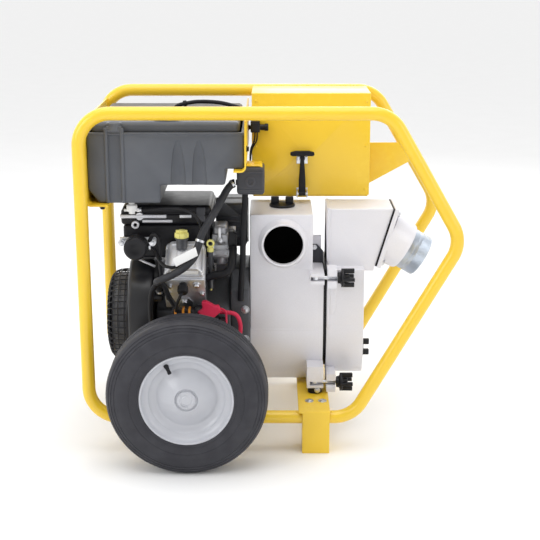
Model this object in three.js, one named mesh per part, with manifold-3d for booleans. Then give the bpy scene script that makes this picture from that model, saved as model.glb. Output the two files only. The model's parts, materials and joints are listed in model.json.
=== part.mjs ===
// Engine-driven trash pump in a two-wheeled tube cage.
// Millimetres, +Z up. +X runs from the engine fan to the suction port, -Y is the operator's
// side, and the origin lies on the ground under the middle of the machine.
import * as THREE from 'three';
import { mergeVertices } from 'three/addons/utils/BufferGeometryUtils.js';
import Module from 'manifold-3d';

const wasm = await Module();
wasm.setup();

// Driving dimensions
const GAP = 0.3;
const SIDES = [{ name: 'near', sign: -1 }, { name: 'far', sign: 1 }];

// Cage: two closed loops of 1 inch pipe
const LOOP_Y = 240;
const TUBE_R = 17;
const LOOP_CORNERS = [[-470, 94], [-470, 887], [295, 887], [482, 565], [214, 94]];
const LOOP_BEND = 80;
const LOOP_WELD_X = 0;
const RAIL_Z = 94;
const DECK_Z = RAIL_Z + TUBE_R + GAP;
const INNER_Y = LOOP_Y - TUBE_R - GAP;
const SHEET = 5;

// Wheels: 4.00-8 tyres
const AXLE = [-206, 202];
const WHEEL_Y = 350;
const TYRE_R = 202;
const AXLE_R = 12.7;

// Engine and pump share one shaft line
const SHAFT_Z = 300;
const SHAFT_R = 17.5;
const BANK_TILT = THREE.MathUtils.degToRad(40);

// Pump
const WALL = 8;
const CASING_X = [-53, 143];
const TOWER_X = [-53, 113];
const TOWER_Z = 602;
const PUMP_Y = 96;
const SHOULDER_Z = 453;
const PORT = { x: 35, z: 525, bore: 52, root: 65, rim: 57, reach: 26 };
const COVER_X = [151.3, 251];
const SUCTION_FACE = [[281, 454], [327, 610]];
const SUCTION_Y = 62;
const SUCTION_TILT = THREE.MathUtils.degToRad(30.5);
const NIPPLE = { x: 366, z: 491.5, length: 52, r: 57.15, bore: 51 };
const CLAMP = { x: 121, y: -122.5, heights: { upper: 438, lower: 147 } };
const PLUG = { x: 33, y: 12 };

// Box, tank and canister
const BOX = { x: [-49, 270], y: [50, 222], z: [620, 901], sheet: 3 };
const LATCH = { x: 87, y: 33.5, z: 631 };
const TANK_Y = 200;
const TANK_OUTLINE = [[-457, 835], [-430, 860], [-90, 860], [-64, 840], [-64, 742], [-112, 742],
  [-112, 701], [-275, 701], [-275, 655], [-430, 655], [-457, 690]];
const CANISTER = { x: [-85, -14], y: [-148, -60], z: [665, 736] };

const paint = (color, roughness, metalness) => ({ color, roughness, metalness });
const YELLOW = paint(0xf2cb36, 0.45, 0);
const SILVER = paint(0xdcdce2, 0.5, 0.1);
const CASTING = paint(0xb9bcc2, 0.45, 0.7);
const BLACK = paint(0x1d1e22, 0.55, 0);
const GREY_PLASTIC = paint(0x62666e, 0.6, 0);
const RUBBER = paint(0x3a3a40, 0.85, 0);
const STEEL = paint(0xa9adb3, 0.35, 1);
const NIPPLE_STEEL = paint(0x7f8c98, 0.35, 0.9);
const RIM_PAINT = paint(0xc4c7cd, 0.45, 0.2);
const CAP_YELLOW = paint(0xe9e58c, 0.5, 0);
const RED = paint(0xc7324f, 0.55, 0);

const machine = new THREE.Group();

// ---- geometry helpers -------------------------------------------------------------------

function toSolid(geometry) {
  const bare = geometry.clone();
  bare.deleteAttribute('normal');
  bare.deleteAttribute('uv');
  const merged = mergeVertices(bare, 1e-4);
  const index = merged.index.array;
  const triangles = [];
  for (let i = 0; i < index.length; i += 3) {
    const [a, b, c] = [index[i], index[i + 1], index[i + 2]];
    if (a !== b && b !== c && c !== a) {
      triangles.push(a, b, c);
    }
  }
  const vertProperties = new Float32Array(merged.attributes.position.array);
  const build = (list) => new wasm.Manifold(
    new wasm.Mesh({ numProp: 3, vertProperties, triVerts: new Uint32Array(list) }));
  const solid = build(triangles);
  return solid.volume() < 0 ? build(triangles.reverse()) : solid;
}

function toGeometry(solid) {
  const mesh = solid.getMesh();
  const geometry = new THREE.BufferGeometry();
  geometry.setAttribute('position', new THREE.BufferAttribute(new Float32Array(mesh.vertProperties), 3));
  geometry.setIndex(new THREE.BufferAttribute(new Uint32Array(mesh.triVerts), 1));
  return geometry;
}

function fuse(...pieces) {
  return toGeometry(pieces.map(toSolid).reduce((a, b) => a.add(b)));
}

function cut(body, ...tools) {
  return toGeometry(tools.map(toSolid).reduce((a, b) => a.subtract(b), toSolid(body)));
}

function box([x0, x1], [y0, y1], [z0, z1]) {
  const geometry = new THREE.BoxGeometry(x1 - x0, y1 - y0, z1 - z0);
  return geometry.translate((x0 + x1) / 2, (y0 + y1) / 2, (z0 + z1) / 2);
}

function cone(from, to, radiusFrom, radiusTo, sides = 20) {
  const a = new THREE.Vector3(...from);
  const b = new THREE.Vector3(...to);
  const axis = b.clone().sub(a);
  const geometry = new THREE.CylinderGeometry(radiusTo, radiusFrom, axis.length(), sides);
  geometry.applyQuaternion(new THREE.Quaternion().setFromUnitVectors(
    new THREE.Vector3(0, 1, 0), axis.clone().normalize()));
  return geometry.translate(...a.add(b).multiplyScalar(0.5).toArray());
}

const rod = (from, to, radius, sides = 20) => cone(from, to, radius, radius, sides);

function shapeOf(outline) {
  return new THREE.Shape(outline.map(([u, v]) => new THREE.Vector2(u, v)));
}

// An outline in (X, Z), given depth along Y
function plateXZ(outline, [y0, y1]) {
  const geometry = new THREE.ExtrudeGeometry(shapeOf(outline), { depth: y1 - y0, bevelEnabled: false });
  return geometry.rotateX(Math.PI / 2).translate(0, y1, 0);
}

// An outline in (Y, Z), given depth along X
function plateYZ(outline, [x0, x1]) {
  const geometry = new THREE.ExtrudeGeometry(shapeOf(outline), { depth: x1 - x0, bevelEnabled: false });
  const basis = new THREE.Matrix4().makeBasis(
    new THREE.Vector3(0, 1, 0), new THREE.Vector3(0, 0, 1), new THREE.Vector3(1, 0, 0));
  return geometry.applyMatrix4(basis).translate(x0, 0, 0);
}

// A profile of [radius, distance along the axis] turned about the Y axis
function turned(profile, sides) {
  const points = [...profile, profile[0]].map(([r, y]) => new THREE.Vector2(r, y));
  return new THREE.LatheGeometry(points, sides);
}

// A path through listed points, one extrusion step from each point to the next
class Route extends THREE.Curve {
  constructor(points) {
    super();
    this.points = points;
  }

  getPoint(t) {
    const last = this.points.length - 1;
    const i = Math.min(Math.floor(t * last + 1e-9), last - 1);
    return this.points[i].clone().lerp(this.points[i + 1], t * last - i);
  }

  getPointAt(u) {
    return this.getPoint(u);
  }

  getTangentAt(u, target = new THREE.Vector3()) {
    const last = this.points.length - 1;
    const i = Math.round(u * last);
    const here = this.points[i];
    const before = this.points[Math.max(i - 1, 0)].clone().sub(here).normalize();
    const after = this.points[Math.min(i + 1, last)].clone().sub(here).normalize();
    return target.copy(after.sub(before).normalize());
  }
}

function circle(radius, sides) {
  return Array.from({ length: sides }, (_, i) => {
    const angle = (i * 2 * Math.PI) / sides;
    return [radius * Math.cos(angle), radius * Math.sin(angle)];
  });
}

function tube(points, radius, sides) {
  const route = new Route(points);
  return new THREE.ExtrudeGeometry(shapeOf(circle(radius, sides)),
    { extrudePath: route, steps: points.length - 1, bevelEnabled: false });
}

// Straight runs joined by arcs of one radius
function bentRun(corners, radius, arcSteps = 5) {
  const points = [corners[0]];
  for (let i = 1; i < corners.length - 1; i += 1) {
    const corner = corners[i];
    const back = corners[i - 1].clone().sub(corner).normalize();
    const on = corners[i + 1].clone().sub(corner).normalize();
    const half = back.angleTo(on) / 2;
    const reach = radius / Math.tan(half);
    const inward = back.clone().add(on).normalize();
    const centre = corner.clone().addScaledVector(inward, radius / Math.sin(half));
    const first = corner.clone().addScaledVector(back, reach).sub(centre);
    const final = corner.clone().addScaledVector(on, reach).sub(centre);
    const sweep = first.angleTo(final);
    for (let step = 0; step <= arcSteps; step += 1) {
      const t = step / arcSteps;
      const spoke = first.clone().multiplyScalar(Math.sin((1 - t) * sweep) / Math.sin(sweep));
      spoke.addScaledVector(final, Math.sin(t * sweep) / Math.sin(sweep));
      points.push(spoke.add(centre));
    }
  }
  points.push(corners[corners.length - 1]);
  return points;
}

// A hose along a smooth curve through a few points
function hose(points, radius, steps, sides = 8) {
  const curve = new THREE.CatmullRomCurve3(points.map((p) => new THREE.Vector3(...p)));
  return tube(curve.getSpacedPoints(steps), radius, sides);
}

// A piece drawn upright on the shaft line, leaned over with its cylinder bank
function banked(geometry, sign) {
  return geometry.rotateX(-sign * BANK_TILT).translate(0, 0, SHAFT_Z);
}

function add(name, geometry, finish, parent = machine) {
  const mesh = new THREE.Mesh(toGeometry(toSolid(geometry)), new THREE.MeshStandardMaterial(finish));
  mesh.name = name;
  parent.add(mesh);
  return mesh;
}

// ---- cage -------------------------------------------------------------------------------

function frameLoop() {
  const weld = 8;
  const corner = ([x, z]) => new THREE.Vector3(x, 0, z);
  const start = corner([LOOP_WELD_X - 0.5, RAIL_Z]);
  const end = corner([LOOP_WELD_X + 0.5, RAIL_Z]);
  const pipe = tube(bentRun([start, ...LOOP_CORNERS.map(corner), end], LOOP_BEND), TUBE_R, 12);
  const bead = rod([LOOP_WELD_X - weld, 0, RAIL_Z], [LOOP_WELD_X + weld, 0, RAIL_Z], TUBE_R + 1, 12);
  return fuse(pipe, bead);
}

function frontFoot() {
  const legX = [84, 155];
  const plateX = [74, 156];
  const outer = LOOP_Y + TUBE_R + GAP + SHEET;
  const pieces = [box(plateX, [-outer, outer], [DECK_Z, DECK_Z + SHEET + 1])];
  for (const { sign } of SIDES) {
    const web = sign < 0 ? [-outer, -outer + SHEET] : [outer - SHEET, outer];
    const depth = sign < 0 ? [-outer, -195] : [195, outer];
    pieces.push(box(legX, web, [0, DECK_Z + 1]));
    pieces.push(box([legX[0], legX[0] + SHEET], depth, [0, 76]));
    pieces.push(box([legX[1] - SHEET, legX[1]], depth, [0, 76]));
    pieces.push(box(legX, depth, [0, SHEET]));
  }
  return fuse(...pieces);
}

function engineBase() {
  const x = [-386, -85];
  const span = [-(LOOP_Y + 12), LOOP_Y + 12];
  const top = [DECK_Z, DECK_Z + SHEET];
  const window = box([x[0] + 70, x[1] - 70], [-140, 140], [DECK_Z - 1, DECK_Z + SHEET + 1]);
  const flanges = [x[0], x[1] - SHEET].map((from) => box([from, from + SHEET], [-INNER_Y, INNER_Y],
    [84, DECK_Z + 1]));
  return cut(fuse(box(x, span, top), ...flanges), window);
}

function axle(sign) {
  const at = (y) => [AXLE[0], sign * y, AXLE[1]];
  const plateY = [LOOP_Y + TUBE_R + GAP, LOOP_Y + TUBE_R + GAP + 8];
  const faces = sign < 0 ? [-plateY[1], -plateY[0]] : plateY;
  const plate = plateXZ([[-266, 77], [-146, 77], [-146, 130], [-176, 236], [-236, 236], [-266, 130]], faces);
  return fuse(plate, rod(at(plateY[1] - 2), at(321.5), 20), rod(at(320), at(398), AXLE_R),
    rod(at(393.4), at(399), 22.5));
}

for (const { name, sign } of SIDES) {
  add(`frame_loop_${name}`, frameLoop(), YELLOW).position.y = sign * LOOP_Y;
  add(`stub_axle_${name}`, axle(sign), YELLOW);
}
add('front_foot', frontFoot(), YELLOW);
add('engine_base', engineBase(), YELLOW);

// ---- wheels -----------------------------------------------------------------------------

function tyre() {
  const outer = [[116, -46], [150, -55], [178, -50], [196, -40], [TYRE_R, -28]];
  const inner = [[193, -20], [185, -34], [150, -47], [116, -40]];
  const mirrored = (list) => [...list].reverse().map(([r, y]) => [r, -y]);
  return turned([...outer, ...mirrored(outer), ...mirrored(inner), ...inner], 32);
}

function rim() {
  const bore = AXLE_R + 0.4;
  return turned([[117.5, -50.5], [117.5, -46.8], [115.1, -46.6], [115.1, 46.6], [117.5, 46.8], [117.5, 50.5],
    [112.6, 48], [112.6, -12], [98, -14], [80, -24], [55, -27], [36, -30], [29, -30], [29, 28], [bore, 28],
    [bore, -43], [27, -43], [29, -38], [36, -35], [55, -32], [80, -29], [98, -19], [112.6, -17],
    [112.6, -48]], 24);
}

for (const { name, sign } of SIDES) {
  const wheel = new THREE.Group();
  wheel.position.set(AXLE[0], sign * WHEEL_Y, AXLE[1]);
  wheel.rotation.z = sign < 0 ? 0 : Math.PI;
  add(`tyre_${name}`, tyre(), RUBBER, wheel);
  add(`rim_${name}`, rim(), RIM_PAINT, wheel);
  machine.add(wheel);
}

// ---- engine -----------------------------------------------------------------------------

function crankcase() {
  const outline = [[-106, 341], [-22, 412], [22, 412], [106, 341], [110, 300], [110, 190], [90, 165],
    [-90, 165], [-110, 190], [-110, 300]];
  const feet = [-1, 1].map((side) => box([-380, -105], side < 0 ? [-105, -60] : [60, 105],
    [DECK_Z + SHEET + GAP, 180]));
  const shaft = rod([-306, 0, SHAFT_Z], [-104, 0, SHAFT_Z], SHAFT_R + 0.8, 24);
  const hollow = box([-292, -117], [-92, 92], [178, 340]);
  return cut(fuse(plateYZ(outline, [-304, -105]), ...feet), shaft, hollow);
}

function cylinder(sign, shift) {
  const x = [shift - 52, shift + 52];
  const barrel = [box([x[0] + 10, x[1] - 10], [-42, 42], [101, 206])];
  for (let z = 104; z < 200; z += 16) {
    barrel.push(box(x, [-50, 50], [z, z + 6]));
  }
  barrel.push(box(x, [-50, 50], [200, 249.7]));
  return banked(fuse(...barrel), sign);
}

function valveCover(sign, shift) {
  const x = [shift - 50, shift + 50];
  const outline = [[x[0], 250], [x[1], 250], [x[1], 275], [x[1] - 12, 285], [x[0] + 12, 285], [x[0], 275]];
  return banked(plateXZ(outline, [-48, 48]), sign);
}

const BANKS = { near: { sign: -1, shift: -220 }, far: { sign: 1, shift: -205 } };
const OIL_CAP = { x: -227, y: -165, z: 557, r: 18 };

add('crankcase', crankcase(), CASTING);
for (const [name, { sign, shift }] of Object.entries(BANKS)) {
  add(`cylinder_${name}`, cylinder(sign, shift), CASTING);
}
const filler = rod([OIL_CAP.x, OIL_CAP.y, 525], [OIL_CAP.x, OIL_CAP.y, OIL_CAP.z - GAP], 13, 16);
add('valve_cover_near', fuse(valveCover(BANKS.near.sign, BANKS.near.shift), filler), CASTING);
add('valve_cover_far', valveCover(BANKS.far.sign, BANKS.far.shift), CASTING);
const capDisc = rod([OIL_CAP.x, OIL_CAP.y, OIL_CAP.z], [OIL_CAP.x, OIL_CAP.y, OIL_CAP.z + 21], OIL_CAP.r, 16);
add('oil_cap', capDisc, CAP_YELLOW);

const BREATHER_Z = 395;

function blowerHousing() {
  const outline = [[-150, 200], [-150, 380], [-118, 433], [-60, 470], [60, 470], [118, 433], [150, 380],
    [150, 200], [120, 182], [-120, 182]];
  const inner = outline.map(([y, z]) => [y * 0.96, SHAFT_Z + (z - SHAFT_Z) * 0.96]);
  const hollow = plateYZ(inner, [-371, -311]);
  const bowl = rod([-376, 0, SHAFT_Z], [-370, 0, SHAFT_Z], 116, 28);
  const shaft = rod([-312, 0, SHAFT_Z], [-306, 0, SHAFT_Z], 24, 20);
  const breather = box([-308, -281], [-139, -121], [376, BREATHER_Z - GAP]);
  return cut(fuse(plateYZ(outline, [-375, -307]), breather), hollow, bowl, shaft);
}

function fanGuard() {
  const shell = cut(rod([-442, 0, SHAFT_Z], [-375 - GAP, 0, SHAFT_Z], 126, 32),
    rod([-436, 0, SHAFT_Z], [-375, 0, SHAFT_Z], 119, 32));
  const slots = [];
  const count = 12;
  for (let i = 0; i < count; i += 1) {
    const angle = ((i + 0.5) * 2 * Math.PI) / count;
    const slot = box([-443, -384], [62, 130], [-11, 11]);
    slots.push(slot.rotateX(angle).translate(0, 0, SHAFT_Z));
  }
  return cut(shell, ...slots);
}

function crankshaft() {
  const on = (x) => [x, 0, SHAFT_Z];
  const pieces = [rod(on(-395), on(58), SHAFT_R, 20), rod(on(-330), on(-316), 108, 28),
    rod(on(-372), on(-328), 46, 20)];
  const blades = 10;
  for (let i = 0; i < blades; i += 1) {
    const blade = box([-368, -328], [40, 107], [-2.5, 2.5]);
    pieces.push(blade.rotateX((i * 2 * Math.PI) / blades).translate(0, 0, SHAFT_Z));
  }
  return fuse(...pieces);
}

add('blower_housing', blowerHousing(), BLACK);
add('fan_guard', fanGuard(), BLACK);
add('crankshaft', crankshaft(), STEEL);

const airCleaner = plateXZ([[-390, 575], [-390, 615], [-380, 627], [-185, 627], [-150, 600], [-150, 575]],
  [-105, 105]);
const intakeShroud = plateYZ([[-75, 485], [-95, 520], [-95, 576], [95, 576], [95, 520], [75, 485]],
  [-385, -160]);
add('air_cleaner', fuse(airCleaner, intakeShroud), BLACK);

const CARB = { x: [-159.7, -108], y: [-62, 40], z: [470, 560] };
const throat = rod([CARB.x[1] - 2, -10, 530], [-92, -10, 530], 20, 16);
add('carburettor', fuse(box(CARB.x, CARB.y, CARB.z), throat), CASTING);
const LEVER = { x: -134, y: CARB.y[0] - GAP, z: 525 };
add('throttle_lever', fuse(rod([LEVER.x, LEVER.y, LEVER.z], [LEVER.x, LEVER.y - 8, LEVER.z], 9, 12),
  box([LEVER.x - 4, LEVER.x + 4], [LEVER.y - 7, LEVER.y - 3], [LEVER.z, LEVER.z + 36])), STEEL);

const DIPSTICK = { x: -156, y: -113, z: 511 };
const dipRod = rod([DIPSTICK.x, DIPSTICK.y, DIPSTICK.z - 110], [DIPSTICK.x, DIPSTICK.y, DIPSTICK.z], 3, 8);
const dipRing = box([DIPSTICK.x - 11, DIPSTICK.x + 11], [DIPSTICK.y - 4, DIPSTICK.y + 4],
  [DIPSTICK.z - 1, DIPSTICK.z + 29]);
const ringHole = rod([DIPSTICK.x, DIPSTICK.y - 5, DIPSTICK.z + 15],
  [DIPSTICK.x, DIPSTICK.y + 5, DIPSTICK.z + 15], 6, 10);
add('dipstick', cut(fuse(dipRod, dipRing), ringHole), CAP_YELLOW);

const muffler = cut(box([-150, -62], [60, 205], [474, 598]), box([-146, -66], [64, 201], [478, 594]),
  rod([-106, 200, 502], [-106, 206, 502], 15, 16));
const shieldPosts = [-135, -78].map((x) => box([x - 5, x + 5], [50, 62], [520, 540]));
const shield = box([-148, -58], [47, 50.5], [466, 606]);
add('muffler', fuse(muffler, ...shieldPosts, shield), GREY_PLASTIC);

const STARTER = { y: -149.5, z: 300 };
const motor = rod([-250, STARTER.y, STARTER.z], [-115, STARTER.y, STARTER.z], 38, 20);
const solenoid = rod([-196, -150, 352], [-132, -150, 352], 19, 16);
add('starter_motor', fuse(motor, solenoid), BLACK);
add('battery_cable', hose([[-131.2, -150, 352], [-110, -152, 352], [-88, -154, 345], [-78, -154, 318],
  [-80, -150, 285], [-86, -138, 250]], 5.5, 16), RED);

const FUEL_PUMP = { x: -347, z: 527, r: 31 };
const pumpBody = rod([FUEL_PUMP.x, -168, FUEL_PUMP.z], [FUEL_PUMP.x, -128, FUEL_PUMP.z], FUEL_PUMP.r, 20);
const pumpStem = rod([FUEL_PUMP.x, -129, FUEL_PUMP.z + 5], [FUEL_PUMP.x, -95 - GAP, FUEL_PUMP.z + 5], 12, 12);
add('fuel_pump', fuse(pumpBody, pumpStem), BLACK);

function bellHousing() {
  const outline = [[-105, 195], [-105, 400], [-70, 450], [70, 450], [105, 400], [105, 195],
    [75, 170], [-75, 170]];
  const bore = rod([-106, 0, SHAFT_Z], [-52, 0, SHAFT_Z], SHAFT_R + 4, 20);
  const hollow = rod([-106, 0, SHAFT_Z], [-61, 0, SHAFT_Z], 88, 28);
  return cut(plateYZ(outline, [-105 + GAP, CASING_X[0] - GAP]), bore, hollow);
}
add('bell_housing', bellHousing(), CASTING);

// ---- pump -------------------------------------------------------------------------------

// Half of the belly under the shaft, as [half width, height above the bottom]
const BELLY = [[0, 0], [35, 10], [66, 42], [88, 92], [PUMP_Y, 144]];

function bellyOutline(bottom, top, wall) {
  const half = BELLY.map(([y, z]) => [Math.max(y - wall, 0), bottom + z + (y > 80 ? 0 : wall)]);
  const right = [...half, [PUMP_Y - wall, top]];
  const left = right.filter(([y]) => y > 0).reverse().map(([y, z]) => [-y, z]);
  return [...right, ...left];
}

function clampLug(x, halfHeight, height, edge = -138) {
  const root = height > SHAFT_Z ? -84 : -40;
  return box(x, [edge, root], [height - halfHeight, height + halfHeight]);
}

function hingeLugs(x) {
  return [[430, 90], [200, 74]].map(([z, root]) => box(x, [root, 116], [z - 15, z + 15]));
}

function pumpCasing() {
  const body = plateYZ(bellyOutline(138, SHOULDER_Z, 0), CASING_X);
  const tower = box(TOWER_X, [-PUMP_Y, PUMP_Y], [SHOULDER_Z - 20, TOWER_Z]);
  const portBoss = cone([PORT.x, -PUMP_Y + 1, PORT.z], [PORT.x, -PUMP_Y - PORT.reach, PORT.z], PORT.root,
    PORT.rim, 32);
  const feet = SIDES.map(({ sign }) => box([99, CASING_X[1]], sign < 0 ? [-140, -63] : [63, 140],
    [134.9, 195]));
  const upperLug = clampLug([106, CASING_X[1]], 15, CLAMP.heights.upper);
  const liftEye = box([TOWER_X[1] - 1, 138], [-20, -10], [SHOULDER_Z - 2, 527]);
  const cavity = plateYZ(bellyOutline(138, SHOULDER_Z - WALL, WALL), [CASING_X[0] + WALL, CASING_X[1] + 1]);
  const towerCavity = box([TOWER_X[0] + WALL, TOWER_X[1] - WALL], [-PUMP_Y + WALL, PUMP_Y - WALL],
    [SHOULDER_Z - 40, TOWER_Z - WALL]);
  const port = rod([PORT.x, -PUMP_Y - PORT.reach - 1, PORT.z], [PORT.x, -PUMP_Y + WALL + 1, PORT.z],
    PORT.bore, 32);
  const filler = rod([PLUG.x, PLUG.y, TOWER_Z - WALL - 1], [PLUG.x, PLUG.y, TOWER_Z + 1], 26.5, 20);
  const shaft = rod([CASING_X[0] - 1, 0, SHAFT_Z], [CASING_X[0] + WALL + 1, 0, SHAFT_Z], SHAFT_R + 4, 20);
  const heights = Object.values(CLAMP.heights);
  const slots = heights.map((z) => box([107, CASING_X[1] + 1], [-141, -110], [z - 5.5, z + 5.5]));
  const pins = heights.map((z) => rod([CLAMP.x, CLAMP.y, z - 8], [CLAMP.x, CLAMP.y, z + 8], 3.5, 10));
  const solid = fuse(body, tower, portBoss, ...feet, upperLug, ...hingeLugs([118, CASING_X[1]]), liftEye);
  const shell = cut(solid, cavity, towerCavity, port, filler, shaft, ...slots);
  return fuse(shell, ...pins);
}

function suctionCover() {
  const [low, high] = SUCTION_FACE;
  const body = plateYZ(bellyOutline(153, SHOULDER_Z, 0), COVER_X);
  const head = plateXZ([[COVER_X[0], 440], [low[0] - 4, 440], low, high, [COVER_X[0], high[1]]],
    [-SUCTION_Y, SUCTION_Y]);
  const lugs = Object.values(CLAMP.heights).map((z) => clampLug([COVER_X[0], 176], 26, z, -135));
  const cavity = plateYZ(bellyOutline(153, SHOULDER_Z - WALL, WALL), [COVER_X[0] - 1, COVER_X[1] - WALL]);
  const headCavity = plateXZ([[COVER_X[0] - 1, 430], [low[0] - 14, 430], [low[0] - WALL, low[1] + 8],
    [high[0] - WALL - 2, high[1] - WALL], [COVER_X[0] - 1, high[1] - WALL]], [-SUCTION_Y + 7, SUCTION_Y - 7]);
  const backWall = box([COVER_X[0], COVER_X[0] + WALL], [-SUCTION_Y, SUCTION_Y], [SHOULDER_Z, high[1]]);
  const slots = Object.values(CLAMP.heights).map((z) => box([COVER_X[0] - 1, 177], [-139, -109],
    [z - 6.5, z + 6.5]));
  const drain = rod([COVER_X[1] - WALL - 1, 0, 205], [COVER_X[1] + 1, 0, 205], 19.5, 20);
  const shell = cut(fuse(body, head, ...lugs, ...hingeLugs([COVER_X[0], 176])), cavity, headCavity);
  return cut(fuse(shell, backWall), inletBore(52), drain, ...slots);
}

// Outward direction of the suction port
const PORT_DIR = [Math.cos(SUCTION_TILT), -Math.sin(SUCTION_TILT)];
const alongPort = (t) => [NIPPLE.x + PORT_DIR[0] * t, 0, NIPPLE.z + PORT_DIR[1] * t];

function inletBore(radius) {
  return rod(alongPort(-90), alongPort(60), radius, 28);
}

// A slab that lies along the slanted suction face, from one distance off it to another
function faceSlab(from, to, [y0, y1], extra = 0) {
  const [[x0, z0], [x1, z1]] = SUCTION_FACE;
  const length = Math.hypot(x1 - x0, z1 - z0);
  const [tx, tz] = [(x1 - x0) / length, (z1 - z0) / length];
  const at = (t, n) => [x0 + tx * t + tz * n, z0 + tz * t - tx * n];
  const far = length + extra;
  return plateXZ([at(-extra, from), at(-extra, to), at(far, to), at(far, from)], [y0, y1]);
}

function suctionFlange() {
  const plate = faceSlab(4 + GAP, 16, [-68, 68], 2);
  const boss = cut(cone(alongPort(-58), alongPort(-GAP), 71, 63, 28), faceSlab(-80, 5, [-90, 90], 60));
  return cut(fuse(plate, boss), inletBore(50));
}

function nipple() {
  return cut(rod(alongPort(0), alongPort(NIPPLE.length), NIPPLE.r, 32),
    rod(alongPort(-1), alongPort(NIPPLE.length + 1), NIPPLE.bore, 32));
}

function flapper() {
  const disc = rod([0, 0, 0], [6, 0, 0], 51, 24);
  const ear = box([0, 6], [-20, 20], [40, 57]);
  const [[x0, z0], [x1, z1]] = SUCTION_FACE;
  const slant = Math.atan2(x1 - x0, z1 - z0);
  const flap = fuse(disc, ear).translate(-6, 0, 0).rotateY(slant);
  return flap.translate((x0 + x1) / 2 - 14, 0, (z0 + z1) / 2 + 3);
}

function impeller() {
  const on = (x) => [x, 0, SHAFT_Z];
  const pieces = [rod(on(58 + GAP), on(66), 80, 28), rod(on(60), on(104), 20, 16)];
  for (let i = 0; i < 3; i += 1) {
    const vane = box([62, 98], [12, 78], [-4, 4]);
    pieces.push(vane.rotateX((i * 2 * Math.PI) / 3).translate(0, 0, SHAFT_Z));
  }
  return fuse(...pieces);
}

add('pump_casing', pumpCasing(), SILVER);
add('suction_cover', suctionCover(), SILVER);
add('suction_flange', suctionFlange(), SILVER);
add('suction_gasket', cut(faceSlab(GAP, 4, [-66, 66]), inletBore(53)), RUBBER);
add('suction_nipple', nipple(), NIPPLE_STEEL);
add('flapper_valve', flapper(), RUBBER);
add('impeller', impeller(), CASTING);

const gasketX = [CASING_X[1] + GAP, COVER_X[0] - GAP];
const gasketHole = plateYZ(bellyOutline(153, SHOULDER_Z - 12, 12), [gasketX[0] - 1, gasketX[1] + 1]);
add('cover_gasket', cut(plateYZ(bellyOutline(153, SHOULDER_Z, 1), gasketX), gasketHole), RUBBER);
add('shaft_seal', cut(rod([CASING_X[0] + WALL + GAP, 0, SHAFT_Z], [-20, 0, SHAFT_Z], 32, 20),
  rod([-50, 0, SHAFT_Z], [-19, 0, SHAFT_Z], SHAFT_R + 1.5, 20)), STEEL);

const plugPieces = [rod([PLUG.x, PLUG.y, TOWER_Z + GAP], [PLUG.x, PLUG.y, TOWER_Z + 7], 34.5, 24),
  rod([PLUG.x, PLUG.y, TOWER_Z - 14], [PLUG.x, PLUG.y, TOWER_Z + 5], 25, 20)];
for (const side of [-1, 1]) {
  const middle = PLUG.x + side * 19.5;
  plugPieces.push(box([middle - 11, middle + 11], [PLUG.y - 6, PLUG.y + 6], [TOWER_Z + 5, TOWER_Z + 26]));
}
add('priming_plug', fuse(...plugPieces), BLACK);

const DRAIN = { x: COVER_X[1] + GAP, z: 205 };
const drainParts = [rod([DRAIN.x, 0, DRAIN.z], [DRAIN.x + 7, 0, DRAIN.z], 27, 24),
  rod([DRAIN.x - 12, 0, DRAIN.z], [DRAIN.x + 5, 0, DRAIN.z], 18, 20)];
for (const side of [-1, 1]) {
  const middle = DRAIN.z + side * 15;
  drainParts.push(box([DRAIN.x + 5, DRAIN.x + 24], [-5, 5], [middle - 8, middle + 8]));
}
add('drain_plug', fuse(...drainParts), BLACK);

// Swing bolts: an eye on the casing's pin, a shank through the cover's fork, a lobed knob
function swingBolt() {
  const eye = rod([0, 0, -4.8], [0, 0, 4.8], 9, 16);
  const shank = rod([6, 0, 0], [84, 0, 0], 4.8, 12);
  return cut(fuse(eye, shank), rod([0, 0, -6], [0, 0, 6], 4.2, 12));
}

function clampKnob() {
  const pieces = [rod([57, 0, 0], [68, 0, 0], 17.5, 20), rod([66, 0, 0], [82, 0, 0], 24, 20)];
  for (let i = 0; i < 4; i += 1) {
    const lobe = box([80, 101], [8, 25], [-7, 7]);
    pieces.push(lobe.rotateX((i * Math.PI) / 2));
  }
  return cut(fuse(...pieces), rod([54, 0, 0], [102, 0, 0], 5.1, 12));
}

for (const [name, height] of Object.entries(CLAMP.heights)) {
  const clamp = new THREE.Group();
  clamp.position.set(CLAMP.x, CLAMP.y, height);
  add(`swing_bolt_${name}`, swingBolt(), STEEL, clamp);
  add(`clamp_knob_${name}`, clampKnob(), BLACK, clamp);
  machine.add(clamp);
}

for (const { name, sign } of SIDES) {
  const mount = rod([121, sign * 118, DECK_Z + SHEET + 1 + GAP], [121, sign * 118, 134.9 - GAP], 19.5, 20);
  add(`pump_mount_${name}`, mount, RUBBER);
}

// ---- battery box ------------------------------------------------------------------------

function shrink([low, high], by) {
  return [low + by, high - by];
}

const trayX = shrink(BOX.x, BOX.sheet + 0.5);
const trayY = shrink(BOX.y, BOX.sheet + 0.5);
const trayShell = cut(box(trayX, trayY, [BOX.z[0], 652]), box(shrink(trayX, 3), shrink(trayY, 3),
  [BOX.z[0] + 3, 653]));
const anchorFoot = box([LATCH.x - 12, LATCH.x + 12], [41.5, BOX.y[0] + 5], [BOX.z[0], BOX.z[0] + 3]);
const anchorTab = box([LATCH.x - 12, LATCH.x + 12], [41.5, 44.5], [BOX.z[0], 642]);
add('battery_box_tray', fuse(trayShell, anchorFoot, anchorTab), YELLOW);

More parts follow.
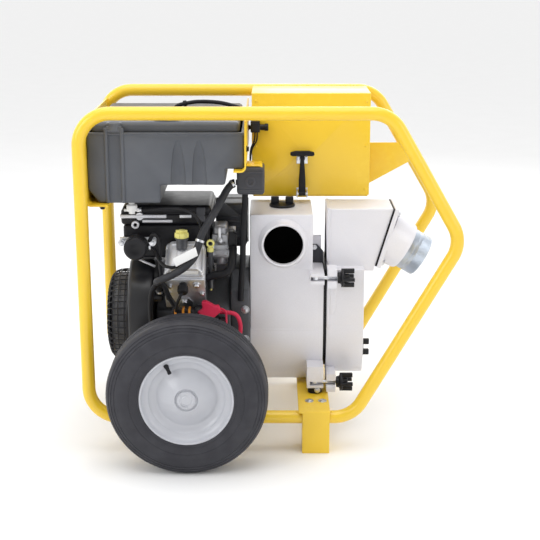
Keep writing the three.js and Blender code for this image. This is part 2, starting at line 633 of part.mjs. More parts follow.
const hoodShell = cut(box(BOX.x, BOX.y, [BOX.z[0] + 4, BOX.z[1]]),
  box(shrink(BOX.x, BOX.sheet), shrink(BOX.y, BOX.sheet), [BOX.z[0], BOX.z[1] - BOX.sheet]));
const hookProngs = [-1, 1].map((side) => box([LATCH.x + side * 10 - 3, LATCH.x + side * 10 + 3],
  [34, BOX.y[0] + 1], [722, 728]));
add('battery_box_hood', fuse(hoodShell, ...hookProngs), YELLOW);
add('battery', box([0, 230], [70, 205], [BOX.z[0] + 3 + GAP, 815]), BLACK);

const strap = plateXZ([[-9, -6], [9, -6], [9, 60], [6, 87], [5, 105], [-5, 105], [-6, 87], [-9, 60]],
  [-3.5, 3.5]);
const teeBar = plateXZ([[-33, 105], [33, 105], [31, 115], [12, 118], [-12, 118], [-31, 115]], [-7.5, 6.5]);
const strapMesh = add('latch_strap', fuse(strap, teeBar), BLACK);
strapMesh.position.set(LATCH.x, LATCH.y, LATCH.z);

add('box_gusset_plate', plateXZ([[BOX.x[1] + GAP, 741], [364, 741], [400, 688], [BOX.x[1] + GAP, 616]],
  [INNER_Y - SHEET, INNER_Y]), YELLOW);

const SWITCH = { x: [-52, -27], z: [799, 829], y: [24, BOX.y[0] - GAP] };
add('engine_switch', box(SWITCH.x, SWITCH.y, SWITCH.z), BLACK);
add('switch_knob', rod([SWITCH.x[1] + GAP, 36, 812], [-4, 36, 812], 8, 6), BLACK);

// ---- tank and fuel system ---------------------------------------------------------------

const FUEL_CAP = { x: -260, y: -128 };
const tankBody = plateXZ(TANK_OUTLINE, [-TANK_Y, TANK_Y]);
const tankHollow = fuse(box([-450, -71], [-TANK_Y + 6, TANK_Y - 6], [748, 832]),
  box([-424, -281], [-TANK_Y + 6, TANK_Y - 6], [661, 760]));
const capHole = rod([FUEL_CAP.x, FUEL_CAP.y, 831], [FUEL_CAP.x, FUEL_CAP.y, 861], 24, 16);
add('fuel_tank', cut(tankBody, tankHollow, capHole), GREY_PLASTIC);
add('fuel_cap', fuse(rod([FUEL_CAP.x, FUEL_CAP.y, 860 + GAP], [FUEL_CAP.x, FUEL_CAP.y, 880], 33, 20),
  rod([FUEL_CAP.x, FUEL_CAP.y, 842], [FUEL_CAP.x, FUEL_CAP.y, 862], 22, 16)), BLACK);

function tankBracket(plateX, lipX, lipZ, top) {
  const span = [-INNER_Y, INNER_Y];
  return fuse(box(plateX, span, [lipZ, top]), box(lipX, span, [lipZ, lipZ + 4]));
}

add('tank_bracket_left', tankBracket([-462, -457.3], [-462, -405], 650.5, 866), YELLOW);
const canisterTop = box([-60, CANISTER.x[1] - 6], shrink(CANISTER.y, 10),
  [CANISTER.z[1] + GAP, CANISTER.z[1] + 4]);
add('tank_bracket_right', fuse(tankBracket([-63.5, -59.5], [-91, -59.5], 737, 866), canisterTop), YELLOW);

const FUEL_VALVE = { x: -352, y: -170 };
const valveStem = rod([FUEL_VALVE.x, FUEL_VALVE.y, 628], [FUEL_VALVE.x, FUEL_VALVE.y, 655 - GAP], 9, 12);
const valveBlock = box([FUEL_VALVE.x - 14, FUEL_VALVE.x + 16], [FUEL_VALVE.y - 9, FUEL_VALVE.y + 9],
  [622, 640]);
add('fuel_valve', fuse(valveStem, valveBlock), STEEL);
const fuelRoute = [[FUEL_VALVE.x + 16.8, -170, 631], [-300, -171, 634], [-250, -180, 637], [-212, -190, 634],
  [-186, -200, 619], [-174, -204, 595], [-173, -204, 570], [-188, -208, 545], [-212, -216, 508],
  [-240, -226, 496], [-266, -222, 497], [-286, -190, 508], [-294, -166, 521], [-302, -153, 526],
  [-314.3, -150, 527]];
add('fuel_line', hose(fuelRoute, 4.2, 30, 6), RUBBER);

const [[cx0, cx1], [cz0, cz1]] = [CANISTER.x, CANISTER.z];
const round = 14;
const canisterOutline = [[cx0 + round, cz0], [cx1 - round, cz0], [cx1, cz0 + round], [cx1, cz1 - round],
  [cx1 - round, cz1], [cx0 + round, cz1], [cx0, cz1 - round], [cx0, cz0 + round]];
add('carbon_canister', plateXZ(canisterOutline, CANISTER.y), GREY_PLASTIC);
const breatherRoute = [[cx0 - 5, -130, 694], [cx0 - 10, -130.5, 693], [-110, -142, 678], [-128, -168, 648],
  [-152, -206, 612], [-171, -226, 582], [-180, -236, 555], [-190, -243, 528], [-212, -246, 503],
  [-240, -246, 484], [-268, -242, 470], [-286, -226, 458], [-290, -196, 446], [-290, -160, 430],
  [-290, -136, 414], [-290, -130, 403], [-290, -130, BREATHER_Z + 1.5]];
add('canister_hose', hose(breatherRoute, 9.5, 36), RUBBER);

export default machine;
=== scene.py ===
"""Looks of a wheeled trash pump: a V-twin engine and a cast pump in a yellow tube cage.

Metres in Blender; the sizes below are millimetres and go through mm(). +X runs from the fan to the suction
port, -Y is the operator's side and +Z is up. "near" pieces are on the -Y side.
"""
import json
import math

import bmesh
import bpy
from mathutils import Matrix, Vector


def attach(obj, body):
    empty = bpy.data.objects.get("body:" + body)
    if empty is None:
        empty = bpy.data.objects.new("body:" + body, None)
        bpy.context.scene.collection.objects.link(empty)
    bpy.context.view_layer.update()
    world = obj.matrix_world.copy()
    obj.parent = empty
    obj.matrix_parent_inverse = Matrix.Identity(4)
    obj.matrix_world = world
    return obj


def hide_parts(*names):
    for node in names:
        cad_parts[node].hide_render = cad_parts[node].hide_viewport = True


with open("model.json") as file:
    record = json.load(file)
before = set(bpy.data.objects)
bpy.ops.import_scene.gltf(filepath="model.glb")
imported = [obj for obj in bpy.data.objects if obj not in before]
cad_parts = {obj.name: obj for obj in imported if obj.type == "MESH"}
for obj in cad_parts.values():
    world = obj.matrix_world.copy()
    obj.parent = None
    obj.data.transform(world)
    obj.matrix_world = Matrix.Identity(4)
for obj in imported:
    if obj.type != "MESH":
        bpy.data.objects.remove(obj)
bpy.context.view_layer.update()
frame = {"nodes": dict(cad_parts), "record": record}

NODES = frame["nodes"]
BODY_OF = {
    node: body for body, nodes in frame["record"]["behaviour"]["bodies"].items() for node in nodes
}
X_AXIS = Vector((1, 0, 0))
Y_AXIS = Vector((0, 1, 0))
Z_AXIS = Vector((0, 0, 1))


def mm(x, y, z):
    """A place in millimetres, as a vector in metres."""
    return Vector((x, y, z)) / 1000


# ---- camera, light and floor ---------------------------------------------------------------

def set_stage():
    """The camera, the lights and the floor."""
    scene = bpy.context.scene
    scene.view_settings.view_transform = "Standard"
    camera = bpy.data.cameras.new("camera")
    camera.lens = 78.6
    camera.sensor_width = 36
    viewer = bpy.data.objects.new("camera", camera)
    viewer.location = mm(0, -3107, 1287)
    viewer.rotation_euler = (math.radians(90 - 15.5), 0, 0)
    scene.collection.objects.link(viewer)
    scene.camera = viewer

    set_sky(scene)
    soft_box("overhead_light", mm(-300, -700, 3200), mm(0, 0, 300), 2.6, 44)
    soft_box("left_light", mm(-3000, -2300, 1900), mm(0, 0, 450), 2.0, 42)
    soft_box("right_light", mm(3000, -1900, 1500), mm(0, 0, 450), 1.8, 24)
    soft_box("back_light", mm(900, 3000, 2300), mm(0, 0, 450), 2.4, 18)

    start_fresh()
    bpy.ops.mesh.primitive_plane_add(size=80, location=(0, 0, 0))
    floor = bpy.context.object
    floor.name = "studio_floor"
    pale = Finish("studio_floor")
    grain = pale.noise(6, 2)
    pale.colour(pale.blend(grain, (0.93, 0.93, 0.93), (0.90, 0.90, 0.90)))
    pale.roughness(0.9)
    floor.data.materials.append(pale.material)


def set_sky(scene):
    """A white sky, bright behind the machine and dim in front of it."""
    world = bpy.data.worlds.new("studio")
    scene.world = world
    world.use_nodes = True
    nodes, links = world.node_tree.nodes, world.node_tree.links
    background = nodes["Background"]
    background.inputs["Color"].default_value = (1, 1, 1, 1)
    direction = nodes.new("ShaderNodeTexCoord").outputs["Generated"]
    split = nodes.new("ShaderNodeSeparateXYZ")
    fade = nodes.new("ShaderNodeMapRange")
    for socket, value in {"From Min": -0.3, "From Max": 0.6, "To Min": 0.5, "To Max": 1.55}.items():
        fade.inputs[socket].default_value = value
    links.new(direction, split.inputs["Vector"])
    links.new(split.outputs["Y"], fade.inputs["Value"])
    links.new(fade.outputs["Result"], background.inputs["Strength"])


def soft_box(name, place, target, size, watts):
    """A square area light of the given width in metres, turned to its target."""
    light = bpy.data.lights.new(name, "AREA")
    light.shape = "SQUARE"
    light.size = size
    light.energy = watts
    lamp = bpy.data.objects.new(name, light)
    lamp.location = place
    lamp.rotation_euler = (target - place).to_track_quat("-Z", "Y").to_euler()
    bpy.context.scene.collection.objects.link(lamp)


# ---- shader maths --------------------------------------------------------------------------

class Signal:
    """A number socket that takes part in Python arithmetic by adding Math nodes."""

    def __init__(self, finish, socket):
        self.finish = finish
        self.socket = socket

    def maths(self, operation, first, second):
        node = self.finish.node("ShaderNodeMath", {"operation": operation}, {0: first, 1: second})
        return Signal(self.finish, node.outputs[0])

    def __add__(self, other):
        return self.maths("ADD", self, other)

    def __radd__(self, other):
        return self.maths("ADD", other, self)

    def __sub__(self, other):
        return self.maths("SUBTRACT", self, other)

    def __rsub__(self, other):
        return self.maths("SUBTRACT", other, self)

    def __mul__(self, other):
        return self.maths("MULTIPLY", self, other)

    def __rmul__(self, other):
        return self.maths("MULTIPLY", other, self)

    def __gt__(self, other):
        return self.maths("GREATER_THAN", self, other)

    def __lt__(self, other):
        return self.maths("LESS_THAN", self, other)


class Finish:
    """A procedural material on the Principled shader, with patterns on object coordinates."""

    def __init__(self, name):
        self.material = bpy.data.materials.new(name)
        self.material.use_nodes = True
        self.tree = self.material.node_tree
        self.tree.nodes.clear()
        self.shader = self.node("ShaderNodeBsdfPrincipled")
        self.node("ShaderNodeOutputMaterial", {}, {"Surface": self.shader.outputs["BSDF"]})
        self.place = self.node("ShaderNodeTexCoord").outputs["Object"]
        split = self.node("ShaderNodeSeparateXYZ", {}, {"Vector": self.place})
        self.x, self.y, self.z = (Signal(self, output) for output in split.outputs)

    def node(self, kind, settings=None, sockets=None):
        node = self.tree.nodes.new(kind)
        for name, value in (settings or {}).items():
            if name == "stops":
                self.set_stops(node.color_ramp, value)
            else:
                setattr(node, name, value)
        for name, value in (sockets or {}).items():
            self.feed(node.inputs[name], value)
        return node

    def feed(self, socket, value):
        if isinstance(value, Signal):
            value = value.socket
        if isinstance(value, bpy.types.NodeSocket):
            self.tree.links.new(value, socket)
        elif isinstance(value, tuple) and len(value) == 3 and socket.type == "RGBA":
            socket.default_value = (*value, 1)
        else:
            socket.default_value = value

    def set_stops(self, ramp, stops):
        while len(ramp.elements) < len(stops):
            ramp.elements.new(0.5)
        for element, (position, shade) in zip(ramp.elements, stops):
            element.position = position
            element.color = (shade, shade, shade, 1)

    def noise(self, scale, detail=3, rough=0.5, stretch=(1, 1, 1)):
        spread = self.node("ShaderNodeMapping", {}, {"Vector": self.place, "Scale": stretch})
        node = self.node("ShaderNodeTexNoise", {}, {
            "Vector": spread.outputs["Vector"], "Scale": scale, "Detail": detail, "Roughness": rough,
        })
        return Signal(self, node.outputs["Fac"])

    def ramp(self, signal, *stops):
        node = self.node("ShaderNodeValToRGB", {"stops": stops}, {"Fac": signal})
        return Signal(self, node.outputs["Color"])

    def worn_edges(self, low=0.53, high=0.60):
        edges = Signal(self, self.node("ShaderNodeNewGeometry").outputs["Pointiness"])
        return self.ramp(edges, (low, 0), (high, 1))

    def blend(self, factor, first, second):
        node = self.node("ShaderNodeMix", {"data_type": "RGBA"}, {"Factor": factor})
        self.feed(node.inputs[6], first)
        self.feed(node.inputs[7], second)
        return node.outputs[2]

    def colour(self, value):
        self.feed(self.shader.inputs["Base Color"], value)

    def roughness(self, value):
        self.feed(self.shader.inputs["Roughness"], value)

    def metal(self, value):
        self.feed(self.shader.inputs["Metallic"], value)

    def coat(self, weight, rough):
        self.feed(self.shader.inputs["Coat Weight"], weight)
        self.feed(self.shader.inputs["Coat Roughness"], rough)

    def shine(self, level):
        self.feed(self.shader.inputs["Specular IOR Level"], level)

    def bump(self, height, strength, distance):
        node = self.node("ShaderNodeBump", {}, {
            "Height": height, "Strength": strength, "Distance": distance,
        })
        self.feed(self.shader.inputs["Normal"], node.outputs["Normal"])


# ---- finishes ------------------------------------------------------------------------------

def powder_coat(name, fresh, faded):
    """Glossy powder coat with a fine orange peel and slightly rubbed edges."""
    paint = Finish(name)
    clouds = paint.ramp(paint.noise(7, 4), (0.35, 0), (0.7, 1))
    rubbed = paint.worn_edges() * paint.ramp(paint.noise(60, 4), (0.5, 0), (0.62, 1)) * 0.5
    body = paint.blend(clouds * 0.6, fresh, faded)
    paint.colour(paint.blend(rubbed, body, tuple(min(1, 1.25 * part + 0.05) for part in fresh)))
    paint.roughness(0.27 + 0.1 * paint.noise(25, 3))
    paint.coat(0.35, 0.12)
    paint.bump(paint.noise(520, 2), 0.12, 0.0004)
    return paint.material


def pump_silver():
    """Silver paint over a sand casting, with painted shade: near black inside the pump casing and cover."""
    paint = Finish("pump_silver")
    clouds = paint.ramp(paint.noise(9, 4), (0.3, 0), (0.75, 1))
    speckle = paint.ramp(paint.noise(420, 3), (0.42, 0), (0.6, 1))
    skin = paint.blend(clouds * 0.5 + speckle * 0.2, (0.78, 0.775, 0.82), (0.68, 0.68, 0.73))
    # Painted shade: the hollows inside the casing and the cover are masked to near black, duller and less
    # metallic.
    deep = (paint.y > -0.0875) * (paint.y < 0.0875) * (paint.z > 0.30) * (paint.z < 0.5945)
    casing = deep * (paint.x > -0.0455) * (paint.x < 0.1055)
    cover = deep * (paint.x > 0.1595) * (paint.x < 0.2435) * (paint.y > -0.0555) * (paint.y < 0.0555)
    inside = paint.ramp(casing + cover, (0.4, 0), (0.6, 1))
    paint.colour(paint.blend(inside, skin, (0.012, 0.012, 0.013)))
    paint.metal(0.12 * (1 - inside))
    paint.roughness(0.36 + 0.14 * paint.noise(40, 3) + 0.5 * inside)
    paint.bump(0.7 * paint.noise(300, 4) + 0.3 * paint.noise(900, 2), 0.18, 0.0005)
    return paint.material


def cast_alloy(name, light, dark, metallic=0.75, rough=0.38):
    """Die-cast aluminium: fine grain, stains in broad patches, brighter edges."""
    alloy = Finish(name)
    patches = alloy.ramp(alloy.noise(18, 5), (0.32, 0), (0.72, 1))
    grain = alloy.ramp(alloy.noise(260, 3), (0.4, 0), (0.62, 1))
    edges = alloy.worn_edges(0.52, 0.6)
    base = alloy.blend(patches * 0.55 + grain * 0.25, light, dark)
    alloy.colour(alloy.blend(edges * 0.5, base, tuple(min(1, part * 1.3) for part in light)))
    alloy.metal(metallic)
    alloy.roughness(rough + 0.16 * alloy.noise(70, 4) - 0.08 * edges)
    alloy.bump(alloy.noise(420, 3), 0.22, 0.0005)
    return alloy.material


def plated_steel(name, light, dark, rough=0.22):
    """Zinc-plated or turned steel with fine brushed streaks."""
    steel = Finish(name)
    streaks = steel.noise(180, 4, 0.6, (1, 1, 6))
    patches = steel.ramp(steel.noise(30, 4), (0.35, 0), (0.75, 1))
    steel.colour(steel.blend(0.6 * patches + 0.3 * streaks, light, dark))
    steel.metal(0.95)
    steel.roughness(rough + 0.16 * streaks)
    steel.bump(streaks, 0.1, 0.0002)
    return steel.material


def moulded_plastic(name, colour, worn, rough=0.45, grain=700, depth=0.2):
    """Moulded plastic with a fine spark-eroded grain, paler where it is handled."""
    plastic = Finish(name)
    clouds = plastic.ramp(plastic.noise(14, 4), (0.35, 0), (0.72, 1))
    edges = plastic.worn_edges()
    base = plastic.blend(clouds * 0.6, colour, worn)
    plastic.colour(plastic.blend(edges * 0.35, base, tuple(min(1, part * 1.6 + 0.01) for part in worn)))
    plastic.roughness(rough + 0.14 * plastic.noise(45, 3))
    plastic.bump(plastic.noise(grain, 2), depth, 0.0003)
    plastic.shine(0.3)
    return plastic.material


def moulded_rubber(name, colour, dusty, rough=0.62):
    """Rubber with a matte skin, faint dust and small mould pits."""
    rubber = Finish(name)
    dust = rubber.ramp(rubber.noise(22, 5), (0.42, 0), (0.8, 1))
    rubber.colour(rubber.blend(dust * 0.7, colour, dusty))
    rubber.roughness(rough + 0.16 * rubber.noise(90, 3))
    rubber.bump(rubber.noise(380, 4), 0.2, 0.0004)
    rubber.shine(0.24)
    return rubber.material


def port_shade_finish():
    """Painted shade: a dull black for the dark cup set deep inside the discharge port."""
    depth = Finish("port_painted_shade")
    depth.colour(depth.blend(depth.noise(30, 3), (0.001, 0.001, 0.001), (0.003, 0.003, 0.003)))
    depth.roughness(0.8 + 0.15 * depth.noise(60, 2))
    depth.shine(0.03)
    return depth.material


def gloss_black(name):
    """Black stove enamel over pressed steel, with a soft grey bloom."""
    enamel = Finish(name)
    bloom = enamel.ramp(enamel.noise(12, 4), (0.4, 0), (0.8, 1))
    enamel.colour(enamel.blend(bloom * 0.6, (0.012, 0.012, 0.015), (0.035, 0.036, 0.043)))
    enamel.roughness(0.3 + 0.15 * enamel.noise(30, 3))
    enamel.coat(0.25, 0.2)
    enamel.bump(enamel.noise(500, 2), 0.1, 0.0003)
    return enamel.material


FINISHES = {
    "yellow": powder_coat("cage_yellow", (0.90, 0.60, 0.032), (0.85, 0.55, 0.026)),
    "box_yellow": powder_coat("box_yellow", (0.86, 0.57, 0.024), (0.80, 0.52, 0.019)),
    "pump_silver": pump_silver(),
    "rim_silver": powder_coat("rim_silver", (0.50, 0.51, 0.55), (0.44, 0.45, 0.49)),
    "alloy": cast_alloy("cast_alloy", (0.74, 0.75, 0.79), (0.52, 0.53, 0.58)),
    "dark_alloy": cast_alloy("dark_cast_alloy", (0.095, 0.098, 0.108), (0.05, 0.052, 0.06), 0.4, 0.38),
    "iron": cast_alloy("cast_iron", (0.20, 0.20, 0.21), (0.10, 0.10, 0.11), 0.6, 0.6),
    "zinc": plated_steel("zinc_plate", (0.78, 0.79, 0.82), (0.58, 0.60, 0.64)),
    "nipple_steel": plated_steel("nipple_steel", (0.56, 0.61, 0.68), (0.42, 0.47, 0.54), 0.3),
    "black_plastic": moulded_plastic("black_plastic", (0.006, 0.006, 0.008), (0.014, 0.014, 0.018), 0.3),
    "tank_plastic": moulded_plastic(
        "tank_plastic", (0.090, 0.097, 0.112), (0.120, 0.128, 0.146), 0.36, 480, 0.12),
    "grey_plastic": moulded_plastic("grey_plastic", (0.050, 0.051, 0.060), (0.078, 0.079, 0.09), 0.42),
    "cap_yellow": moulded_plastic("cap_yellow", (0.83, 0.76, 0.25), (0.72, 0.65, 0.20), 0.35),
    "white_plastic": moulded_plastic("white_plastic", (0.80, 0.80, 0.80), (0.68, 0.68, 0.67), 0.4),
    "tyre_rubber": moulded_rubber("tyre_rubber", (0.036, 0.036, 0.043), (0.060, 0.060, 0.070), 0.40),
    "black_rubber": moulded_rubber("black_rubber", (0.008, 0.008, 0.010), (0.018, 0.018, 0.022), 0.38),
    "hose_rubber": moulded_rubber("hose_rubber", (0.028, 0.029, 0.034), (0.052, 0.053, 0.06), 0.42),
    "red_rubber": moulded_rubber("red_rubber", (0.62, 0.025, 0.075), (0.70, 0.06, 0.12), 0.4),
    "copper_orange": moulded_plastic("coil_orange", (0.66, 0.25, 0.02), (0.50, 0.18, 0.02), 0.4),
    "enamel": gloss_black("black_enamel"),
    # The "depth" finish is painted shade for the cup inside the discharge port.
    "depth": port_shade_finish(),
}


# ---- modelling helpers ---------------------------------------------------------------------

def start_fresh():
    """Leaves edit mode and deselects everything."""
    if bpy.context.object and bpy.context.object.mode != "OBJECT":
        bpy.ops.object.mode_set(mode="OBJECT")
    bpy.ops.object.select_all(action="DESELECT")


def edit(piece):
    """Selects one piece alone and opens its whole mesh."""
    start_fresh()
    piece.select_set(True)
    bpy.context.view_layer.objects.active = piece
    bpy.ops.object.mode_set(mode="EDIT")
    bpy.ops.mesh.select_all(action="SELECT")


def settle(piece):
    """Puts the piece's place into its mesh, with its faces pointing out."""
    start_fresh()
    piece.select_set(True)
    bpy.context.view_layer.objects.active = piece
    bpy.ops.object.transform_apply(location=True, rotation=True, scale=True)
    edit(piece)
    bpy.ops.mesh.remove_doubles(threshold=1e-5)
    bpy.ops.mesh.normals_make_consistent(inside=False)
    bpy.ops.object.mode_set(mode="OBJECT")
    return piece


def bevelled(piece, width, segments=3, angle=30, clamp=True):
    """Rounds the edges that are sharper than the angle, by a width in millimetres."""
    start_fresh()
    piece.select_set(True)
    bpy.context.view_layer.objects.active = piece
    bevel = piece.modifiers.new("bevel", "BEVEL")
    bevel.width = width / 1000
    bevel.segments = segments
    bevel.limit_method = "ANGLE"
    bevel.angle_limit = math.radians(angle)
    bevel.use_clamp_overlap = clamp
    bpy.ops.object.modifier_apply(modifier=bevel.name)
    return piece


def block(x, y, z, bevel=1.0, segments=3):
    """A rectangular piece with rounded edges, given as ranges in millimetres."""
    start_fresh()
    middle = mm(*((low + high) / 2 for low, high in (x, y, z)))
    size = mm(*(high - low for low, high in (x, y, z)))
    bpy.ops.mesh.primitive_cube_add(size=1, location=middle)
    piece = bpy.context.object
    piece.scale = size
    return bevelled(settle(piece), bevel, segments)


def rod(start, end, radius, end_radius=None, sides=40, bevel=0.6):
    """A round bar or cone with chamfered ends."""
    start_fresh()
    start, end = mm(*start), mm(*end)
    axis = end - start
    bpy.ops.mesh.primitive_cone_add(
        vertices=sides, radius1=radius / 1000, depth=axis.length, location=(start + end) / 2,
        radius2=(radius if end_radius is None else end_radius) / 1000,
        rotation=axis.to_track_quat("Z", "Y").to_euler())
    return bevelled(settle(bpy.context.object), bevel, 2, 50)


def plate(outline, depth, plane="XZ", bevel=1.0, segments=3):
    """An outline in the XZ, YZ or XY plane, given thickness across it and rounded edges."""
    start_fresh()
    low, high = depth
    place = {
        "XZ": lambda across, up: mm(across, low, up),
        "YZ": lambda across, up: mm(low, across, up),
        "XY": lambda across, up: mm(across, up, low),
    }
    thick = high - low
    push = {"XZ": mm(0, thick, 0), "YZ": mm(thick, 0, 0), "XY": mm(0, 0, thick)}
    bpy.ops.mesh.primitive_circle_add(vertices=len(outline), fill_type="NGON")
    piece = bpy.context.object
    for vertex, (across, up) in zip(piece.data.vertices, outline):
        vertex.co = place[plane](across, up)
    edit(piece)
    bpy.ops.mesh.extrude_region_move(TRANSFORM_OT_translate={"value": push[plane]})
    settle(piece)
    return bevelled(piece, bevel, segments) if bevel else piece


def turned(profile, centre, axis, steps=72):
    """A profile of (radius, distance along the axis) spun round the axis."""
    start_fresh()
    centre = mm(*centre)
    axis = Vector(axis).normalized()
    side = axis.orthogonal().normalized()
    bpy.ops.mesh.primitive_circle_add(vertices=len(profile), fill_type="NOTHING")
    piece = bpy.context.object
    for vertex, (radius, along) in zip(piece.data.vertices, profile):
        vertex.co = centre + side * radius / 1000 + axis * along / 1000
    edit(piece)
    if profile[0][0] == 0 and profile[-1][0] == 0:
        mesh = bmesh.from_edit_mesh(piece.data)
        last = len(profile) - 1
        for edge in mesh.edges:
            edge.select_set({vertex.index for vertex in edge.verts} == {0, last})
        bmesh.update_edit_mesh(piece.data)
        bpy.ops.mesh.delete(type="EDGE")
        bpy.ops.mesh.select_all(action="SELECT")
    bpy.ops.mesh.spin(steps=steps, angle=2 * math.pi, center=centre, axis=axis)
    return settle(piece)


def smooth_route(points, steps=8):
    """Points on a rounded curve through the given ones, in millimetres."""
    route = [Vector(point) for point in points]
    ends = [2 * route[0] - route[1], *route, 2 * route[-1] - route[-2]]
    curve = []
    for before, start, end, after in zip(ends, ends[1:], ends[2:], ends[3:]):
        reach = (end - start).length
        leave = (end - before).normalized() * reach
        arrive = (after - start).normalized() * reach
        for step in range(steps):
            t = step / steps
            curve.append(
                start * (2 * t**3 - 3 * t**2 + 1) + leave * (t**3 - 2 * t**2 + t)
                + end * (3 * t**2 - 2 * t**3) + arrive * (t**3 - t**2))
    return [*curve, route[-1]]


def bent_route(corners, radius, closed=False, steps=12):
    """Straight runs joined by arcs of one radius, in millimetres."""
    points = [Vector(corner) for corner in corners]
    count = len(points)
    route = [] if closed else [points[0]]
    for index in range(count) if closed else range(1, count - 1):
        corner = points[index]
        back = (points[index - 1] - corner).normalized()
        onward = (points[(index + 1) % count] - corner).normalized()
        half = back.angle(onward) / 2
        centre = corner + (back + onward).normalized() * radius / math.sin(half)
        first = corner + back * radius / math.tan(half) - centre
        final = corner + onward * radius / math.tan(half) - centre
        route += [centre + first.slerp(final, step / steps) * radius for step in range(steps + 1)]
    return route if closed else [*route, points[-1]]


def pipe(route, radius, closed=False, sides=7):
    """A round tube along a route of points in millimetres."""
    start_fresh()
    bpy.ops.curve.primitive_nurbs_path_add()
    line = bpy.context.object
    curve = line.data
    curve.splines.clear()
    spline = curve.splines.new("POLY")
    spline.points.add(len(route) - 1)
    for point, place in zip(spline.points, route):
        point.co = (*mm(*place), 1)
    spline.use_cyclic_u = closed
    curve.bevel_depth = radius / 1000
    curve.bevel_resolution = sides
    curve.use_fill_caps = not closed
    line.location = (0, 0, 0)
    bpy.ops.object.convert(target="MESH")
    return settle(bpy.context.object)


def ribbon(route, thickness, depth, bevel=0.8):
    """A bent strip: an (x, z) route given thickness in its plane and depth along Y."""
    points = [Vector(point) for point in route]
    left, right = [], []
    for index, point in enumerate(points):
        back = points[max(index - 1, 0)]
        onward = points[min(index + 1, len(points) - 1)]
        side = (onward - back).normalized().orthogonal() * thickness / 2
        left.append(point + side)
        right.append(point - side)
    return plate([*left, *reversed(right)], depth, "XZ", bevel, 2)


def flat_route(corners, radius, steps=6):
    """A rounded (x, z) route for a ribbon."""
    route = bent_route([(x, 0, z) for x, z in corners], radius, steps=steps)
    return [(point.x, point.z) for point in route]


def joined(*pieces):
    """Several finished shapes as one."""
    start_fresh()
    for piece in pieces:
        piece.select_set(True)
    bpy.context.view_layer.objects.active = pieces[0]
    bpy.ops.object.join()
    return pieces[0]


def copy_of(piece, matrix):
    """Another copy of a finished shape with its own mesh, moved by the matrix."""
    twin = piece.copy()
    twin.data = piece.data.copy()
    bpy.context.scene.collection.objects.link(twin)
    twin.data.transform(matrix)
    if matrix.determinant() < 0:
        settle(twin)
    return twin


def ring_of(piece, count, centre, axis):
    """The piece repeated evenly round an axis, joined in one."""
    centre = mm(*centre)
    pieces = [piece]
    for index in range(1, count):
        turn = Matrix.Rotation(2 * math.pi * index / count, 4, Vector(axis))
        pieces.append(copy_of(piece, Matrix.Translation(centre) @ turn @ Matrix.Translation(-centre)))
    return joined(*pieces)


def carved(piece, cutter):
    """Cuts the second shape out of the first."""
    start_fresh()
    piece.select_set(True)
    bpy.context.view_layer.objects.active = piece
    cut = piece.modifiers.new("cut", "BOOLEAN")
    cut.operation = "DIFFERENCE"
    cut.solver = "EXACT"
    cut.object = cutter
    bpy.ops.object.modifier_apply(modifier=cut.name)
    bpy.data.objects.remove(cutter, do_unlink=True)
    return piece


def hex_bolt(at, axis, across=13, height=7, washer=11):
    """A hex head on a washer, with its seat at the given point."""
    axis = Vector(axis).normalized()
    at = Vector(at)
    start_fresh()
    top = at + axis * (height + 1.6)
    middle = mm(*((at + axis * 1.6 + top) / 2))
    bpy.ops.mesh.primitive_cylinder_add(
        vertices=6, radius=across / 1.732 / 1000, depth=height / 1000, location=middle,
        rotation=axis.to_track_quat("Z", "Y").to_euler())
    head = bevelled(settle(bpy.context.object), 0.9, 2, 50)
    disc = turned([(0, -0.5), (washer, -0.5), (washer, 1.2), (washer - 0.5, 1.7), (0, 1.7)], at, axis, 32)
    return joined(head, disc)


def deliver(piece, name, finish, body="chassis", replaces=(), smooth=35):
    """Names, shades and paints a finished piece, and lets it ride on its body."""
    start_fresh()
    piece.name = name
    piece.data.name = name
    piece.select_set(True)
    bpy.context.view_layer.objects.active = piece
    bpy.ops.object.shade_smooth_by_angle(angle=math.radians(smooth))
    piece.data.materials.clear()
    piece.data.materials.append(FINISHES[finish])
    if replaces:
        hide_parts(*replaces)
    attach(piece, body)
    return piece


def refine(node, finish, bevel=2.0, segments=3, angle=32, flat=3, clamp=False, fine=()):
    """A merged and edge-rounded copy of a CAD node, which stands for it.

    Edges inside the fine boxes, given as ranges in millimetres, are left square.
    """
    piece = bpy.data.objects.new(node, NODES[node].data.copy())
    bpy.context.scene.collection.objects.link(piece)
    edit(piece)
    bpy.ops.mesh.remove_doubles(threshold=2e-5)
    bpy.ops.mesh.dissolve_limited(angle_limit=math.radians(flat))
    bpy.ops.mesh.select_mode(type="EDGE")
    bpy.ops.mesh.select_all(action="DESELECT")
    mesh = bmesh.from_edit_mesh(piece.data)
    for edge in mesh.edges:
        sharp = edge.is_manifold and edge.calc_face_angle() > math.radians(angle)
        middle = (edge.verts[0].co + edge.verts[1].co) * 500
        boxed = any(
            all(low < place < high for place, (low, high) in zip(middle, ranges)) for ranges in fine)
        edge.select_set(sharp and not boxed)
    bmesh.update_edit_mesh(piece.data)
    bpy.ops.mesh.bevel(
        offset=bevel / 1000, segments=segments, affect="EDGES", clamp_overlap=clamp, miter_outer="ARC")
    bpy.ops.mesh.select_mode(type="VERT")
    bpy.ops.object.mode_set(mode="OBJECT")
    return deliver(piece, f"{node}_shell", finish, BODY_OF[node], (node,))


def paint_node(node, finish):
    """A CAD node whose shape is right keeps it and gets its finish."""
    NODES[node].data.materials.clear()
    NODES[node].data.materials.append(FINISHES[finish])


# ---- cage and foot -------------------------------------------------------------------------

CAGE_CORNERS = [(-470, 94), (-470, 887), (295, 887), (482, 565), (214, 94)]
CAGE_Y = 240
PIPE_R = 17
DECK_TOP = 117.3
FOOT_BOLTS_X = (104, 139)
FOOT_BOLTS_Y = (-188, 188)
WELDS_X = (79, 151, -382, -90)


